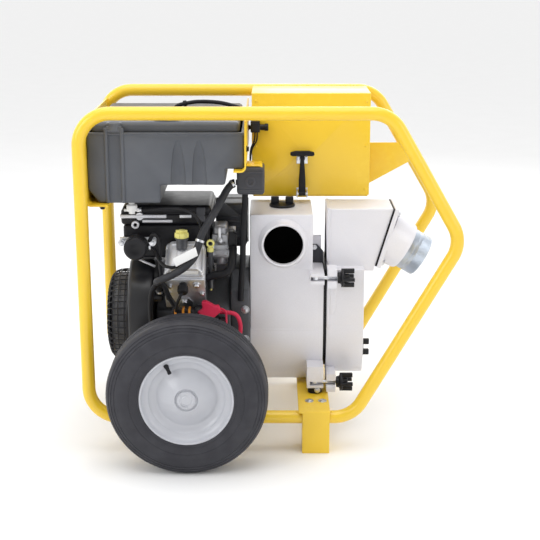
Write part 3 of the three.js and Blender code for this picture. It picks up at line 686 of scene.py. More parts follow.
def build_cage():
    """Two bent pipe loops, the foot, the engine base and the gusset, with bolts and weld beads."""
    for side, sign in (("near", -1), ("far", 1)):
        route = bent_route([(x, sign * CAGE_Y, z) for x, z in CAGE_CORNERS], 80, closed=True, steps=16)
        deliver(pipe(route, PIPE_R, closed=True, sides=12), f"cage_loop_{side}", "yellow",
                replaces=(f"frame_loop_{side}",))
    refine("front_foot", "yellow", 1.4)
    refine("engine_base", "yellow", 1.2)
    refine("box_gusset_plate", "yellow", 1.2)
    bolts = []
    for x in FOOT_BOLTS_X:
        for y in FOOT_BOLTS_Y:
            bolts.append(hex_bolt((x, y, DECK_TOP), Z_AXIS, 13, 2.8, 11.5))
    deliver(joined(*bolts), "foot_bolts", "zinc")
    beads = []
    for middle in WELDS_X:
        for sign in (-1, 1):
            bead = []
            for x in range(middle - 13, middle + 13, 2):
                ripple = 0.7 if (x - middle) % 4 else 0
                bead.append((x, sign * (CAGE_Y + 6), 110.5 + ripple))
            beads.append(pipe(bead, 2.6, sides=3))
    deliver(joined(*beads), "cage_weld_beads", "yellow")


# ---- wheels --------------------------------------------------------------------------------

AXLE = (-206, 202)
WHEEL_Y = 350
AXLE_END_Y = 393.2
AXLE_WIRE_Y = 401.2
TYRE_HALF = [
    (115.9, 42), (117.9, 47), (118.4, 50.8), (120.6, 52.6), (126, 53.6), (138, 54.8), (150, 55),
    (160, 54.2), (168, 52.7), (174, 50.9), (176.6, 49.9), (177.4, 48.6), (178.8, 48.2), (180, 49),
    (184.2, 47.2), (185, 45.6), (186.5, 45.2), (187.5, 46), (190.6, 44.2), (191.3, 42.5), (192.9, 41.8),
    (193.8, 42.4), (196.6, 39.6), (199.6, 34.4), (201.3, 28.6), (202, 22.2), (198.6, 21.4), (198.6, 18.8),
    (202, 18), (202, 12), (198.6, 11.2), (198.6, 8.8), (202, 8), (202, 3.6), (199, 2.8)]
RIM_PROFILE = [
    (13.3, 43), (26.4, 43), (27.6, 43.8), (28.6, 45.4), (30, 46.4), (31.6, 46.2), (33.4, 45.2), (38, 43.4),
    (46, 39.2), (56, 33), (66, 27.2), (73.6, 24.4), (75, 23.2), (77.5, 22.6), (84, 24), (90.6, 27.2),
    (94.4, 31), (96.2, 33.6), (100.6, 35.2), (106, 38.4), (109.6, 43.6), (111.4, 48), (112.8, 50.2),
    (114.6, 51), (116.6, 50.7), (117.7, 49.6), (117.6, 47), (115.2, 46), (115.2, -46), (117.6, -47),
    (117.6, -50.2), (112.9, -48.6), (112.5, 30), (108, 33.2), (101, 31.4), (96.6, 29.4), (92.6, 24.4),
    (84, 20.6), (76, 19.4), (66, 23.8), (56, 29.6), (46, 35.8), (38, 40), (33.6, 41.6), (30.4, 40.6),
    (29.2, 36), (29.2, -28), (13.3, -28),
]


def build_wheels():
    """Tyres and rims on the axle line, with their valve stems and axle ends."""
    for side, sign in (("near", -1), ("far", 1)):
        centre = (AXLE[0], sign * WHEEL_Y, AXLE[1])
        out = Y_AXIS * sign
        tyre = [*TYRE_HALF, *[(radius, -along) for radius, along in reversed(TYRE_HALF)]]
        deliver(turned(tyre, centre, out, 128), f"tyre_{side}_tread", "tyre_rubber", f"wheel_{side}",
                (f"tyre_{side}",), 40)
        deliver(turned(RIM_PROFILE, centre, out, 96), f"rim_{side}_disc", "rim_silver", f"wheel_{side}",
                (f"rim_{side}",), 30)
        ribs = [ring_band(centre, out, 143, 55), ring_band(centre, out, 124.5, 53.4)]
        deliver(joined(*ribs), f"tyre_{side}_bead_lines", "tyre_rubber", f"wheel_{side}")
        build_valve_stem(side, centre, out)
        refine(f"stub_axle_{side}", "yellow", 0.8)
        build_axle_end(side, sign)


def ring_band(centre, out, radius, along):
    """A fine raised line moulded round the tyre."""
    section = [(radius - 0.9, along - 1.2), (radius - 0.5, along + 0.5), (radius + 0.5, along + 0.5),
               (radius + 0.9, along - 1.2)]
    return turned(section, centre, out, 96)


def build_valve_stem(side, centre, out):
    """The rubber valve that leans out of the rim."""
    lean = math.radians(120)
    radial = X_AXIS * math.cos(lean) + Z_AXIS * math.sin(lean)
    base = Vector(centre) + radial * 100 + out * 33
    tip = Vector(centre) + radial * 78 + out * 43
    along = (tip - base).normalized()
    stem = [
        (0, -2), (5.6, -2), (6.2, 0), (6.2, 5), (5.0, 8), (4.4, 17), (4.9, 17.6), (4.9, 23.4),
        (4.2, 24.4), (0, 24.4)]
    deliver(turned(stem, base, along, 24), f"tyre_valve_{side}", "black_rubber", f"wheel_{side}")


def build_axle_end(side, sign):
    """The capped end of a stub axle, with two short ends of wire."""
    out = Y_AXIS * sign
    centre = (AXLE[0], sign * AXLE_END_Y, AXLE[1])
    cap = [(0, -0.1), (23.1, -0.1), (23.5, 3.4), (22.4, 6), (20, 7.4), (17.5, 7.6), (15.8, 6.6), (13, 6.5),
           (11.6, 7.6), (0, 7.9)]
    wires = []
    for start, end in (((-14, -16), (-4, -9)), ((0, -21), (-1, -12))):
        points = [(AXLE[0] + x, sign * AXLE_WIRE_Y, AXLE[1] + z) for x, z in (start, end)]
        wires.append(pipe(points, 1.3, sides=3))
    deliver(joined(turned(cap, centre, out, 48), *wires), f"axle_end_{side}", "rim_silver")


# ---- pump ----------------------------------------------------------------------------------

PORT_CENTRE = (35, -96, 525)
PRIMING_PLUG = (33, 12, 602)
DRAIN_PLUG = (251, 0, 205)
CLAMP_X = 121
CLAMP_Y = -122.5
CLAMP_HEIGHTS = {"upper": 438, "lower": 147}
NIPPLE_START = Vector((366, 0, 491.5))
PORT_TILT = math.radians(30.5)
PORT_OUT = Vector((math.cos(PORT_TILT), 0, -math.sin(PORT_TILT)))
FACE_FOOT = Vector((281, 0, 454))
FACE_TOP = Vector((327, 0, 610))
FACE_UP = (FACE_TOP - FACE_FOOT).normalized()
FACE_OUT = Vector((FACE_UP.z, 0, -FACE_UP.x))


def build_pump():
    """The casing, its cover, both ports, the plugs, the clamps and the feet."""
    clamp_lugs = ((98, 145), (-142, -96.2), (130, 470))
    hinge_lugs = ((98, 145), (96.2, 160), (130, 620))
    lift_eye = ((112, 140), (-21, -9), (430, 530))
    refine("pump_casing", "pump_silver", 2.8, 3, fine=(clamp_lugs, hinge_lugs, lift_eye))
    clamp_lugs = ((150, 180), (-142, -100), (130, 470))
    hinge_lugs = ((150, 180), (100, 160), (130, 620))
    refine("suction_cover", "pump_silver", 2.4, 3, fine=(clamp_lugs, hinge_lugs))
    refine("cover_gasket", "black_rubber", 0.6, 2)
    refine("suction_gasket", "black_rubber", 0.6, 2)
    paint_node("flapper_valve", "black_rubber")
    paint_node("impeller", "iron")
    paint_node("shaft_seal", "zinc")
    build_discharge_port()
    build_suction_port()
    build_bellies()
    build_cover_trim()
    build_plugs()
    build_clamps()
    build_pump_feet()


def build_discharge_port():
    """The rolled rim on the near side, and a black cup behind it as painted shade in the throat."""
    boss = [
        (51.6, -8.4), (65.6, -1.4), (65.9, 1), (64.6, 3.4), (62.9, 6), (60.4, 14), (58.4, 22),
        (57.9, 24.6), (57, 26), (55.6, 26.6), (54, 26.4), (52.6, 25.2), (51.7, 23.4), (51.6, 12)]
    deliver(turned(boss, PORT_CENTRE, -Y_AXIS, 96), "discharge_port_rim", "pump_silver", smooth=40)
    # Painted shade: a dull black cup in the bore hides the port's lit inside.
    ring = [(0, -50), (51.55, -50), (51.55, 14), (51, 14), (50.6, -46), (0, -46)]
    deliver(turned(ring, PORT_CENTRE, -Y_AXIS, 96), "discharge_port_shade_cup", "depth")


def build_suction_port():
    """The slanted flange, the boss cut off along its face, and the threaded nipple."""
    flange = refine("suction_flange", "pump_silver", 1.6, 3)
    flange.name = "suction_flange_plate"
    boss = turned([(0, -64), (71.6, -64), (70.9, -48), (68.2, -28), (66, -10), (64.6, -3.4), (63, -0.5),
                   (60, 0.2), (0, 0.2)], NIPPLE_START, PORT_OUT, 96)
    edit(boss)
    bpy.ops.mesh.bisect(
        plane_co=mm(*(FACE_FOOT + FACE_OUT * 9)), plane_no=FACE_OUT, use_fill=True, clear_inner=True)
    settle(boss)
    bore = rod(NIPPLE_START - PORT_OUT * 80, NIPPLE_START + PORT_OUT * 5, 50.2, sides=96, bevel=0.01)
    deliver(carved(boss, bore), "suction_port_boss", "pump_silver", smooth=40)
    tube = [(51, 0.3), (57.1, 0.3), (57.6, 1.6), (57.6, 13.4), (56.7, 14.6), (56.7, 16.2), (57.3, 17.2)]
    for along in range(24, 49, 2):
        tube += [(57.3, along), (56.5, along + 1)]
    tube += [(57.1, 50), (55.8, 52), (52, 52), (51, 51)]
    deliver(turned(tube, NIPPLE_START, PORT_OUT, 96), "nipple_tube", "nipple_steel",
            replaces=("suction_nipple",))
    bolts = []
    for y in (-46, 46):
        for along in (10, 150):
            seat = FACE_FOOT + FACE_UP * along + FACE_OUT * 15.6 + Y_AXIS * y
            bolts.append(hex_bolt(seat, FACE_OUT, 13, 7, 10.5))
    deliver(joined(*bolts), "suction_flange_bolts", "zinc")


CASING_BELLY = [
    (96.02, 290), (95.9, 258), (92, 222), (83, 186), (70, 157), (56, 137), (44, 129), (30, 126),
]
CASING_INNER = [(94, 290), (94, 282), (86, 231), (64.5, 182), (34, 150)]
COVER_BELLY = [
    (96.02, 300), (95.9, 262), (91, 224), (82, 192), (70, 168), (57, 154), (44, 148.5), (30, 147),
]
COVER_INNER = [(94, 299), (94, 296), (86, 246), (64.5, 197), (34, 165)]


def crescent(outer, inner):
    """The outline of a rounded belly, as (y, z), between its skin and its inner face."""
    skin = [*outer, *[(-y, z) for y, z in reversed(outer)]]
    back = [*inner, *[(-y, z) for y, z in reversed(inner)]]
    return [*skin, *reversed(back)]


def build_bellies():
    """The rounded undersides of casing and cover, and the cover's end wall."""
    casing = plate(crescent(CASING_BELLY, CASING_INNER), (-53, 142.6), "YZ", 2.6, 3)
    deliver(casing, "casing_belly", "pump_silver")
    cover = plate(crescent(COVER_BELLY, COVER_INNER), (151.6, 251), "YZ", 2.6, 3)
    deliver(cover, "cover_belly", "pump_silver")
    skin = [(0.985 * y, z + 1) for y, z in COVER_BELLY]
    end = plate([*skin, *[(-y, z) for y, z in reversed(skin)]], (246.4, 251.3), "YZ", 1.4, 3)
    carved(end, rod((240, *DRAIN_PLUG[1:]), (256, *DRAIN_PLUG[1:]), 19.4, sides=64, bevel=0.01))
    deliver(end, "cover_end_wall", "pump_silver")


def build_cover_trim():
    """The cover's raised sealing flange, its lug ribs, and a dark grey plate in the gap as painted shade,
    with its bolts.
    """
    strips = []
    rim = (151.6, 160.5)
    for sign in (-1, 1):
        strips.append(block(rim, sorted((sign * 98.4, sign * 92)), (292, 453), 1.6))
        strips.append(block(rim, sorted((sign * 64.4, sign * 58)), (453, 607), 1.6))
    strips.append(block(rim, (-62, 62), (606, 611.8), 1.6))
    strips.append(
        plate([(160, 412), (176, 406), (176, 350), (168, 330), (160, 330)], (-99.2, -94), "XZ", 1.4))
    deliver(joined(*strips), "cover_flange_rim", "pump_silver")
    # Painted shade: a thin dark grey plate on the lug where the gap between casing and cover lies in shade.
    shade_plate = plate(
        [(113.4, 504), (127, 504), (143.5, 486), (143.5, 428), (113.4, 436)], (-24.4, -20.6), "XZ", 1.0)
    deliver(shade_plate, "gap_shade_plate", "grey_plastic")
    pins = joined(
        hex_bolt((120, -24.6, 444), -Y_AXIS, 12, 6, 9), hex_bolt((120, -24.6, 496), -Y_AXIS, 10, 6, 7))
    deliver(pins, "lift_bracket_bolts", "zinc")
    heads = [
        hex_bolt((-66, sign * 105.2, z), Y_AXIS * sign, 13, 8, 11) for z in (345, 262) for sign in (-1, 1)
    ]
    deliver(joined(*heads), "adapter_bolts", "zinc")


def turn_cap(centre, axis, disc, neck, lugs, rounding):
    """A screwed cap: a turned disc and neck, with two grip lugs given as offsets from the centre."""
    pieces = [turned(disc, centre, axis, 64)]
    for ranges in lugs:
        spans = [(low + middle, high + middle) for (low, high), middle in zip(ranges, centre)]
        pieces.append(block(*spans, rounding, 4))
    return joined(*pieces, turned(neck, centre, axis, 48))


def build_plugs():
    """The priming plug on top and the drain plug in the cover's end."""
    disc = [(0, 0.4), (34, 0.4), (34.6, 1.4), (34.6, 5.2), (33.4, 6.8), (28, 7.6), (14, 8.2), (0, 8.4)]
    neck = [(0, -14), (24, -14), (25, -12)]
    for turn in range(5):
        neck += [(25, -12 + turn * 2.4), (23.6, -10.8 + turn * 2.4)]
    neck += [(25, 0.5), (0, 0.5)]
    lugs = [((side * 19.5 - 10.8, side * 19.5 + 10.8), (-6.2, 6.2), (5, 26)) for side in (-1, 1)]
    cap = turn_cap(PRIMING_PLUG, Z_AXIS, disc, neck, lugs, 2.6)
    deliver(cap, "priming_plug_cap", "black_plastic", "priming_cap", ("priming_plug",))
    disc = [(0, 0.4), (26.6, 0.4), (27, 1.2), (27, 5.4), (25.6, 7), (0, 7.4)]
    neck = [(0, -12), (18, -12), (18, 0.5), (0, 0.5)]
    lugs = [((5, 24), (-5.2, 5.2), (side * 15 - 8, side * 15 + 8)) for side in (-1, 1)]
    cap = turn_cap(DRAIN_PLUG, X_AXIS, disc, neck, lugs, 2.2)
    deliver(cap, "drain_plug_cap", "black_plastic", "drain_cap", ("drain_plug",))


def build_clamps():
    """The upper and lower swing bolts, each with a threaded shank and a knob of four lobes."""
    for level, height in CLAMP_HEIGHTS.items():
        pin = (CLAMP_X, CLAMP_Y, height)
        eye = [(4.3, -4.6), (8.4, -4.6), (9.3, -3.6), (9.3, 3.6), (8.4, 4.6), (4.3, 4.6)]
        shank = [(0, 5), (4.9, 5), (4.9, 34)]
        for along in range(34, 84, 2):
            shank += [(4.9, along + 0.4), (4.3, along + 1.4)]
        shank += [(4, 84.6), (0, 84.6)]
        bolt = joined(turned(eye, pin, Z_AXIS, 40), turned(shank, pin, X_AXIS, 32))
        deliver(bolt, f"clamp_bolt_{level}", "zinc", f"bolt_{level}", (f"swing_bolt_{level}",))
        hub = [(5.3, 57), (13, 57), (14.6, 58.2), (15, 61), (15.6, 64), (18.6, 66), (23, 66.8), (24, 68.4),
               (24, 72), (22.6, 73.4), (13, 74), (11.6, 76), (11, 87), (9.6, 88.4), (5.3, 88.4)]
        prong = block(
            (CLAMP_X + 70, CLAMP_X + 101), (CLAMP_Y + 13, CLAMP_Y + 24.9), (height - 4.4, height + 4.4),
            1.6, 4)
        flute = block(
            (CLAMP_X + 66.6, CLAMP_X + 75), (CLAMP_Y + 22.6, CLAMP_Y + 24.8), (height - 4, height + 4),
            0.8, 2)
        grips = ring_of(joined(prong, flute), 4, pin, X_AXIS)
        knob = joined(turned(hub, pin, X_AXIS, 56), grips)
        deliver(knob, f"clamp_grip_{level}", "black_plastic", f"knob_{level}", (f"clamp_knob_{level}",))
        pins = turned([(0, -11), (4.1, -11), (4.1, 11), (0, 11)], pin, Z_AXIS, 24)
        deliver(pins, f"clamp_pin_{level}", "zinc")


def build_pump_feet():
    """The rubber mount and bolt under each side of the casing."""
    for side, sign in (("near", -1), ("far", 1)):
        centre = (121, sign * 118, 117.6)
        body = [
            (0, 0), (18.6, 0), (19.4, 1), (18.2, 5), (17.8, 8.4), (18.2, 12), (19.4, 16), (18.6, 17),
            (0, 17)]
        deliver(turned(body, centre, Z_AXIS, 48), f"pump_mount_{side}_block", "black_rubber",
                replaces=(f"pump_mount_{side}",))
        deliver(
            hex_bolt((127, sign * 136.4, 128), Y_AXIS * sign, 12, 5, 8), f"pump_mount_{side}_bolt",
            "zinc")


# ---- battery box ---------------------------------------------------------------------------

BOX_FRONT = 50
BOX_BACK = 222
RIVETS_X = (-38, 259)
RIVETS_Z = (640, 760, 880)
LATCH = (87, 33.5, 631)
SWITCH = (-26.7, 36, 812)


def build_box():
    """The battery box with its rivets, latch and switch."""
    refine("battery_box_hood", "box_yellow", 1.8, 3)
    refine("battery_box_tray", "box_yellow", 0.9, 2)
    paint_node("battery", "black_plastic")
    rivet = [(0, 0), (4, 0), (3.4, 1.4), (1.8, 2.1), (0, 2.3)]
    rivets = []
    for x in RIVETS_X:
        for z in RIVETS_Z:
            rivets.append(turned(rivet, (x, BOX_FRONT, z), -Y_AXIS, 20))
            rivets.append(turned(rivet, (x, BOX_BACK, z), Y_AXIS, 20))
    deliver(joined(*rivets), "box_rivets", "box_yellow")
    build_latch()
    build_switch()


def build_latch():
    """The rubber T handle, the keeper that holds it up and the anchor it swings on."""
    x, y, z = LATCH
    strap = plate([(x - 7.6, z - 5), (x + 7.6, z - 5), (x + 9.4, z + 4), (x + 9, z + 40), (x + 7, z + 66),
                   (x + 5.6, z + 88), (x + 5.6, z + 106), (x - 5.6, z + 106), (x - 5.6, z + 88),
                   (x - 7, z + 66), (x - 9, z + 40), (x - 9.4, z + 4)], (y - 3.4, y + 3.4), "XZ", 1.6)
    bar = plate(
        [
            (x - 33, z + 106), (x - 26, z + 103.6), (x - 9, z + 104), (x + 9, z + 104),
            (x + 26, z + 103.6), (x + 33, z + 106), (x + 32, z + 114), (x + 18, z + 117.6),
            (x - 18, z + 117.6), (x - 32, z + 114)],
        (y - 7.4, y + 6.4), "XZ", 3.0, 4)
    ribs = [
        block((x - 5.4, x + 5.4), (y - 4.2, y - 3), (z + low, z + low + 2.2), 0.5, 2)
        for low in (62, 68, 74)]
    eye = turned([(4, -9.4), (5.6, -9.4), (5.6, 9.4), (4, 9.4)], (x, y, z), X_AXIS, 24)
    deliver(joined(strap, bar, eye, *ribs), "latch_handle", "black_rubber", "latch", ("latch_strap",))
    prongs = []
    for side in (-1, 1):
        prongs.append(
            block((x + side * 10 - 3.3, x + side * 10 + 3.3), (y + 0.2, BOX_FRONT), (721.6, 728.4), 0.8))
        prongs.append(
            block((x + side * 10 - 3.3, x + side * 10 + 3.3), (y + 0.2, y + 3.4), (727, 733), 0.8))
    prongs.append(block((x - 15, x + 15), (BOX_FRONT - 1.6, BOX_FRONT), (711, 732), 0.6))
    deliver(joined(*prongs), "latch_keeper", "zinc")
    ears = [block((x + side * 13.4 - 1.3, x + side * 13.4 + 1.3), (y - 5.4, BOX_FRONT), (621, 640), 0.5)
            for side in (-1, 1)]
    pin = turned([(0, -15.4), (3.4, -15.4), (3.4, 15.4), (0, 15.4)], (x, y, z), X_AXIS, 20)
    bed = block((x - 15, x + 15), (BOX_FRONT - 2.2, BOX_FRONT), (620.4, 645), 0.6)
    deliver(joined(*ears, pin, bed), "latch_anchor", "zinc")


def build_switch():
    """The engine switch on the front of the box, with its fluted knob and two wires."""
    body = [
        block((-52, -27), (24, 49.7), (799, 829), 2.4, 4),
        block((-50, -29), (22.6, 26), (803, 825), 1.2, 3)]
    body.append(turned([(0, -1), (11, -1), (11, 0.8), (9.6, 0.8), (0, 0.8)], (-27.6, 36, 812), X_AXIS, 32))
    deliver(joined(*body), "switch_body", "black_plastic", replaces=("engine_switch",))
    grip = turned(
        [(0, 0.3), (8, 0.3), (8, 12), (9, 13.6), (9, 21), (7.8, 22.4), (0, 22.4)], SWITCH, X_AXIS, 36)
    flute = block((-14, -4.6), (44.2, 45.6), (810.9, 813.1), 0.4, 2)
    ribs = ring_of(flute, 14, SWITCH, X_AXIS)
    deliver(joined(grip, ribs), "switch_grip", "black_plastic", "switch", ("switch_knob",))
    wires = [pipe(smooth_route([(-40 + dx, 40, 799), (-42 + dx, 40, 776), (-52 + dx / 2, 44, 750),
                                (-54, 46 + dx, 700), (-54, 44 + dx, 668)]), 2.1, sides=3) for dx in (0, 6)]
    deliver(joined(*wires), "switch_wires", "black_rubber")


# ---- tank ----------------------------------------------------------------------------------

TANK_FRONT = -200
HOLLOWS_X = (-230, -177)
FUEL_CAP = (-260, -128, 860)


def build_tank():
    """The fuel tank with two hollows and a channel in its front, and all that sits on it."""
    lower = plate([(-457, 690), (-430, 655), (-275, 655), (-275, 701), (-112, 701), (-112, 742), (-64, 742),
                   (-64, 834), (-457, 834)], (TANK_FRONT, -TANK_FRONT), "XZ", 7, 5)
    for x in HOLLOWS_X:
        start_fresh()
        bpy.ops.mesh.primitive_uv_sphere_add(
            segments=48, ring_count=32, radius=1, location=mm(x, TANK_FRONT, 696))
        hollow = bpy.context.object
        hollow.scale = mm(19, 8, 118)
        carved(lower, settle(hollow))
    channel = block((-405, -371), (TANK_FRONT - 30, TANK_FRONT + 5), (600, 900), 4, 4)
    carved(lower, channel)
    deliver(lower, "tank_body", "tank_plastic", replaces=("fuel_tank",))
    upper = block((-444, -76), (-188, 188), (826, 858), 11, 6)
    seam = plate([(-459, 828), (-62, 828), (-62, 834), (-459, 834)], (-202, 202), "XZ", 2.4, 4)
    deliver(joined(upper, seam), "tank_top", "tank_plastic")
    ribs = [rod((x, TANK_FRONT + 0.5, 656), (x, TANK_FRONT + 0.5, 846), 5, sides=32, bevel=2)
            for x in (-408, -368)]
    boss = turned([(11.6, -8), (19.5, -8), (19.5, 9), (18, 11), (15, 11.6), (12.6, 11), (11.6, 9.4)],
                  (-388, -186, 847), Z_AXIS, 48)
    saddle = plate([(-412, 834), (-364, 834), (-370, 850), (-406, 850)], (-203, -182), "XZ", 3, 3)
    deliver(joined(*ribs, boss, saddle), "tank_lock_boss", "tank_plastic")
    build_fuel_cap()
    build_brackets()
    build_vent_hose()


def build_fuel_cap():
    """A fluted screw cap with a grip bar, on its neck."""
    centre = FUEL_CAP
    cap = [(0, 0.4), (32.4, 0.4), (33, 1.4), (33, 14.6), (31.4, 18), (26, 19.8), (14, 20.6), (0, 20.8)]
    skirt = turned([(0, -18), (21.6, -18), (21.6, 0.5), (0, 0.5)], centre, Z_AXIS, 40)
    flute = block(
        (centre[0] + 31.6, centre[0] + 34.6), (centre[1] - 1.6, centre[1] + 1.6), (861.4, 874), 0.9, 3)
    grips = ring_of(flute, 24, centre, Z_AXIS)
    handle = block((centre[0] - 24, centre[0] + 24), (centre[1] - 4.5, centre[1] + 4.5), (878, 884), 2.2, 4)
    deliver(joined(turned(cap, centre, Z_AXIS, 64), skirt, grips, handle), "fuel_cap_lid", "black_plastic",
            "tank_cap", ("fuel_cap",))
    neck = turned([(25, -2.4), (38, -2.4), (38, -0.6), (35, -0.2), (25, -0.2)], centre, Z_AXIS, 56)
    deliver(neck, "fuel_filler_neck", "tank_plastic")


def build_brackets():
    """The two bent straps that carry the tank, with a keeper and bolts."""
    left = ribbon(flat_route([(-459.7, 866), (-459.7, 652.6), (-405, 652.6)], 12), 4.4, (-222.6, 222.6))
    deliver(left, "tank_strap_left", "yellow", replaces=("tank_bracket_left",))
    right = ribbon(flat_route([(-61.4, 866), (-61.4, 739.2), (-91, 739.2)], 12), 4.2, (-222.6, 222.6))
    keeper = ribbon(flat_route([(-60, 739), (-24, 739), (-16, 727)], 7), 3.2, (-138, -70))
    deliver(joined(right, keeper), "tank_strap_right", "yellow", replaces=("tank_bracket_right",))
    bolts = [hex_bolt((-420, y, 650.2), -Z_AXIS, 11, 5, 8.5) for y in (-215, 215)]
    bolts += [hex_bolt((-59.2, y, 790), X_AXIS, 11, 5, 8) for y in (-180, 180)]
    deliver(joined(*bolts), "tank_strap_bolts", "black_plastic")


def build_vent_hose():
    """The thin hose that arches over the top of the tank."""
    route = smooth_route([(-250, 10, 862), (-246, 8, 872), (-226, 4, 879), (-188, 0, 885), (-133, -4, 883),
                          (-92, -8, 874), (-70, -10, 866), (-68, -11, 858)])
    fitting = turned([(0, 0), (9, 0), (9, 3), (6.4, 4), (6.4, 12), (0, 12)], (-250, 10, 857.6), Z_AXIS, 28)
    clamp = turned([(5, -4), (8.2, -4), (8.2, 4), (5, 4)], (-224, 4, 879.4), (1, -0.1, 0.16), 28)
    deliver(joined(pipe(route, 5.2), fitting, clamp), "tank_vent_hose", "black_rubber")


# ---- engine --------------------------------------------------------------------------------

SHAFT_Z = 300
BANK_TILT = math.radians(40)
BANK_MIDDLE = {"near": -220, "far": -205}
OIL_CAP = (-227, -165, 557)
FUEL_PUMP = (-347, -128, 527)
STARTER = (-149.5, 300)
DIPSTICK = (-156, -113, 511)


def leaned(piece, sign):
    """A piece modelled upright over the shaft, leant out to its bank."""
    piece.matrix_world = Matrix.Translation(mm(0, 0, SHAFT_Z)) @ Matrix.Rotation(-sign * BANK_TILT, 4, "X")
    return settle(piece)


def build_engine():
    """The castings, both banks and everything bolted to them."""
    refine("crankcase", "dark_alloy", 5, 3)
    refine("blower_housing", "enamel", 9, 4)
    refine("bell_housing", "dark_alloy", 5, 3)
    paint_node("crankshaft", "zinc")
    for side, sign in (("near", -1), ("far", 1)):
        build_bank(side, sign)
    build_filler_cap()
    build_fan_guard()
    build_air_cleaner()
    build_fuel_pump()
    build_carburettor()
    build_starter()
    build_muffler()
    build_dipstick()
    build_hoses()


def build_bank(side, sign):
    """One cylinder: finned barrel, head, valve cover and spark plug."""
    middle = BANK_MIDDLE[side]
    low, high = middle - 52, middle + 52
    fins = [block((low + 10, high - 10), (-42, 42), (101, 202), 3)]
    for z in range(104, 200, 8):
        fins.append(block((low, high), (-50, 50), (z, z + 2.6), 1.0, 2))
    barrel = leaned(joined(*fins), sign)
    deliver(barrel, f"barrel_{side}_fins", "dark_alloy", replaces=(f"cylinder_{side}",))
    head = [block((low, high), (-50, 50), (203, 249.4), 4, 4)]
    for x in (low + 9, high - 9):
        for y in (-42, 42):
            head.append(rod((x, y, 196), (x, y, 250), 9.5, bevel=2))
    deliver(leaned(joined(*head), sign), f"head_{side}", "alloy")
    dome = plate([(low + 5, 252), (high - 5, 252), (high - 6, 268), (high - 16, 282), (high - 22, 284.4),
                  (low + 22, 284.4), (low + 16, 282), (low + 6, 268)], (-44, 44), "XZ", 5, 5)
    base = block((low + 2, high - 2), (-48, 48), (249.6, 256), 1.8, 3)
    ribs = [
        block((middle + x - 1.6, middle + x + 1.6), (-30, 30), (281, 286), 1.2, 3)
        for x in (-20, -7, 7, 20)]
    frame_rib = [block((middle - 33, middle + 33), (y - 2, y + 2), (281, 285.8), 1.4, 3) for y in (-31, 31)]
    ears = []
    for x in (low + 9, high - 9):
        for y in (-41, 41):
            ears.append(rod((x, y, 250), (x, y, 262), 7.5, bevel=1.6))
    cover = leaned(joined(dome, base, *ribs, *frame_rib, *ears), sign)
    deliver(cover, f"rocker_cover_{side}", "alloy", replaces=(f"valve_cover_{side}",))
    screws = []
    for x in (low + 9, high - 9):
        for y in (-41, 41):
            screws.append(hex_bolt((x, y, 262), Z_AXIS, 9, 5, 6.5))
    deliver(leaned(joined(*screws), sign), f"rocker_screws_{side}", "zinc")
    if side == "near":
        tag = leaned(block((middle - 36, middle + 36), (-45.4, -43), (258, 272), 0.8, 2), sign)
        deliver(tag, "cover_blank_label", "white_plastic")
    build_plug_lead(side, sign, middle)
    build_side_cover(side, sign, middle)


def build_plug_lead(side, sign, middle):
    """The spark plug's boot and lead, with three bolts in the head."""
    x = middle - 4
    boot = turned(
        [
            (0, -4), (9, -4), (10, 0), (10, 8), (13.6, 10), (14.2, 14), (14.2, 24), (12.4, 28), (7, 30),
            (0, 30)],
        (x, -53.4, 228), -Y_AXIS, 40)
    deliver(leaned(boot, sign), f"spark_plug_boot_{side}", "black_rubber")
    plug = [rod((middle + 31, -52, 226), (middle + 31, -57, 226), 10, sides=40, bevel=1)]
    plug.append(hex_bolt((middle + 31, -56, 226), -Y_AXIS, 12, 6, 8))
    plug.append(hex_bolt((middle - 38, -54.6, 222), -Y_AXIS, 10, 6, 8))
    deliver(leaned(joined(*plug), sign), f"head_plug_{side}", "zinc")
    start = leaned_point(x, -78, 228, sign)
    middle_y = start[1]
    route = smooth_route([
        start, (x - 6, middle_y + sign * 9, start[2] - 10), (x - 16, middle_y + sign * 4, start[2] - 34),
        (x - 20, middle_y - sign * 16, start[2] - 60), (x - 20, middle_y - sign * 30, start[2] - 78)])
    deliver(pipe(route, 4), f"spark_plug_lead_{side}", "black_rubber")


def leaned_point(x, y, z, sign):
    """The place that a point modelled upright over the shaft leans out to."""
    place = Matrix.Rotation(-sign * BANK_TILT, 3, "X") @ Vector((x, y, z))
    return place.x, place.y, place.z + SHAFT_Z


def build_side_cover(side, sign, middle):
    """The pressed cooling shroud over the barrel's lower face, with its bolts."""
    low, high = middle - 55, middle + 52
    panel = plate(
        [(low, 118), (high - 6, 118), (high, 126), (high, 247), (low, 247)], (-54.4, -50.4), "XZ", 1.6, 3)
    deliver(leaned(panel, sign), f"barrel_shroud_{side}", "alloy")
    tab = [
        plate(
            [
                (middle - 26, 122), (middle + 18, 122), (middle + 18, 150), (middle + 8, 166),
                (middle - 16, 166), (middle - 26, 150)],
            (-58.4, -54), "XZ", 1)]
    tab.append(hex_bolt((middle - 4, -58.2, 154), -Y_AXIS, 12, 6, 9))
    tab.append(hex_bolt((high - 9, -55.2, 186), -Y_AXIS, 10, 5, 8))
    tab.append(hex_bolt((low + 9, -55.2, 186), -Y_AXIS, 10, 5, 8))
    deliver(leaned(joined(*tab), sign), f"barrel_shroud_bolts_{side}", "zinc")


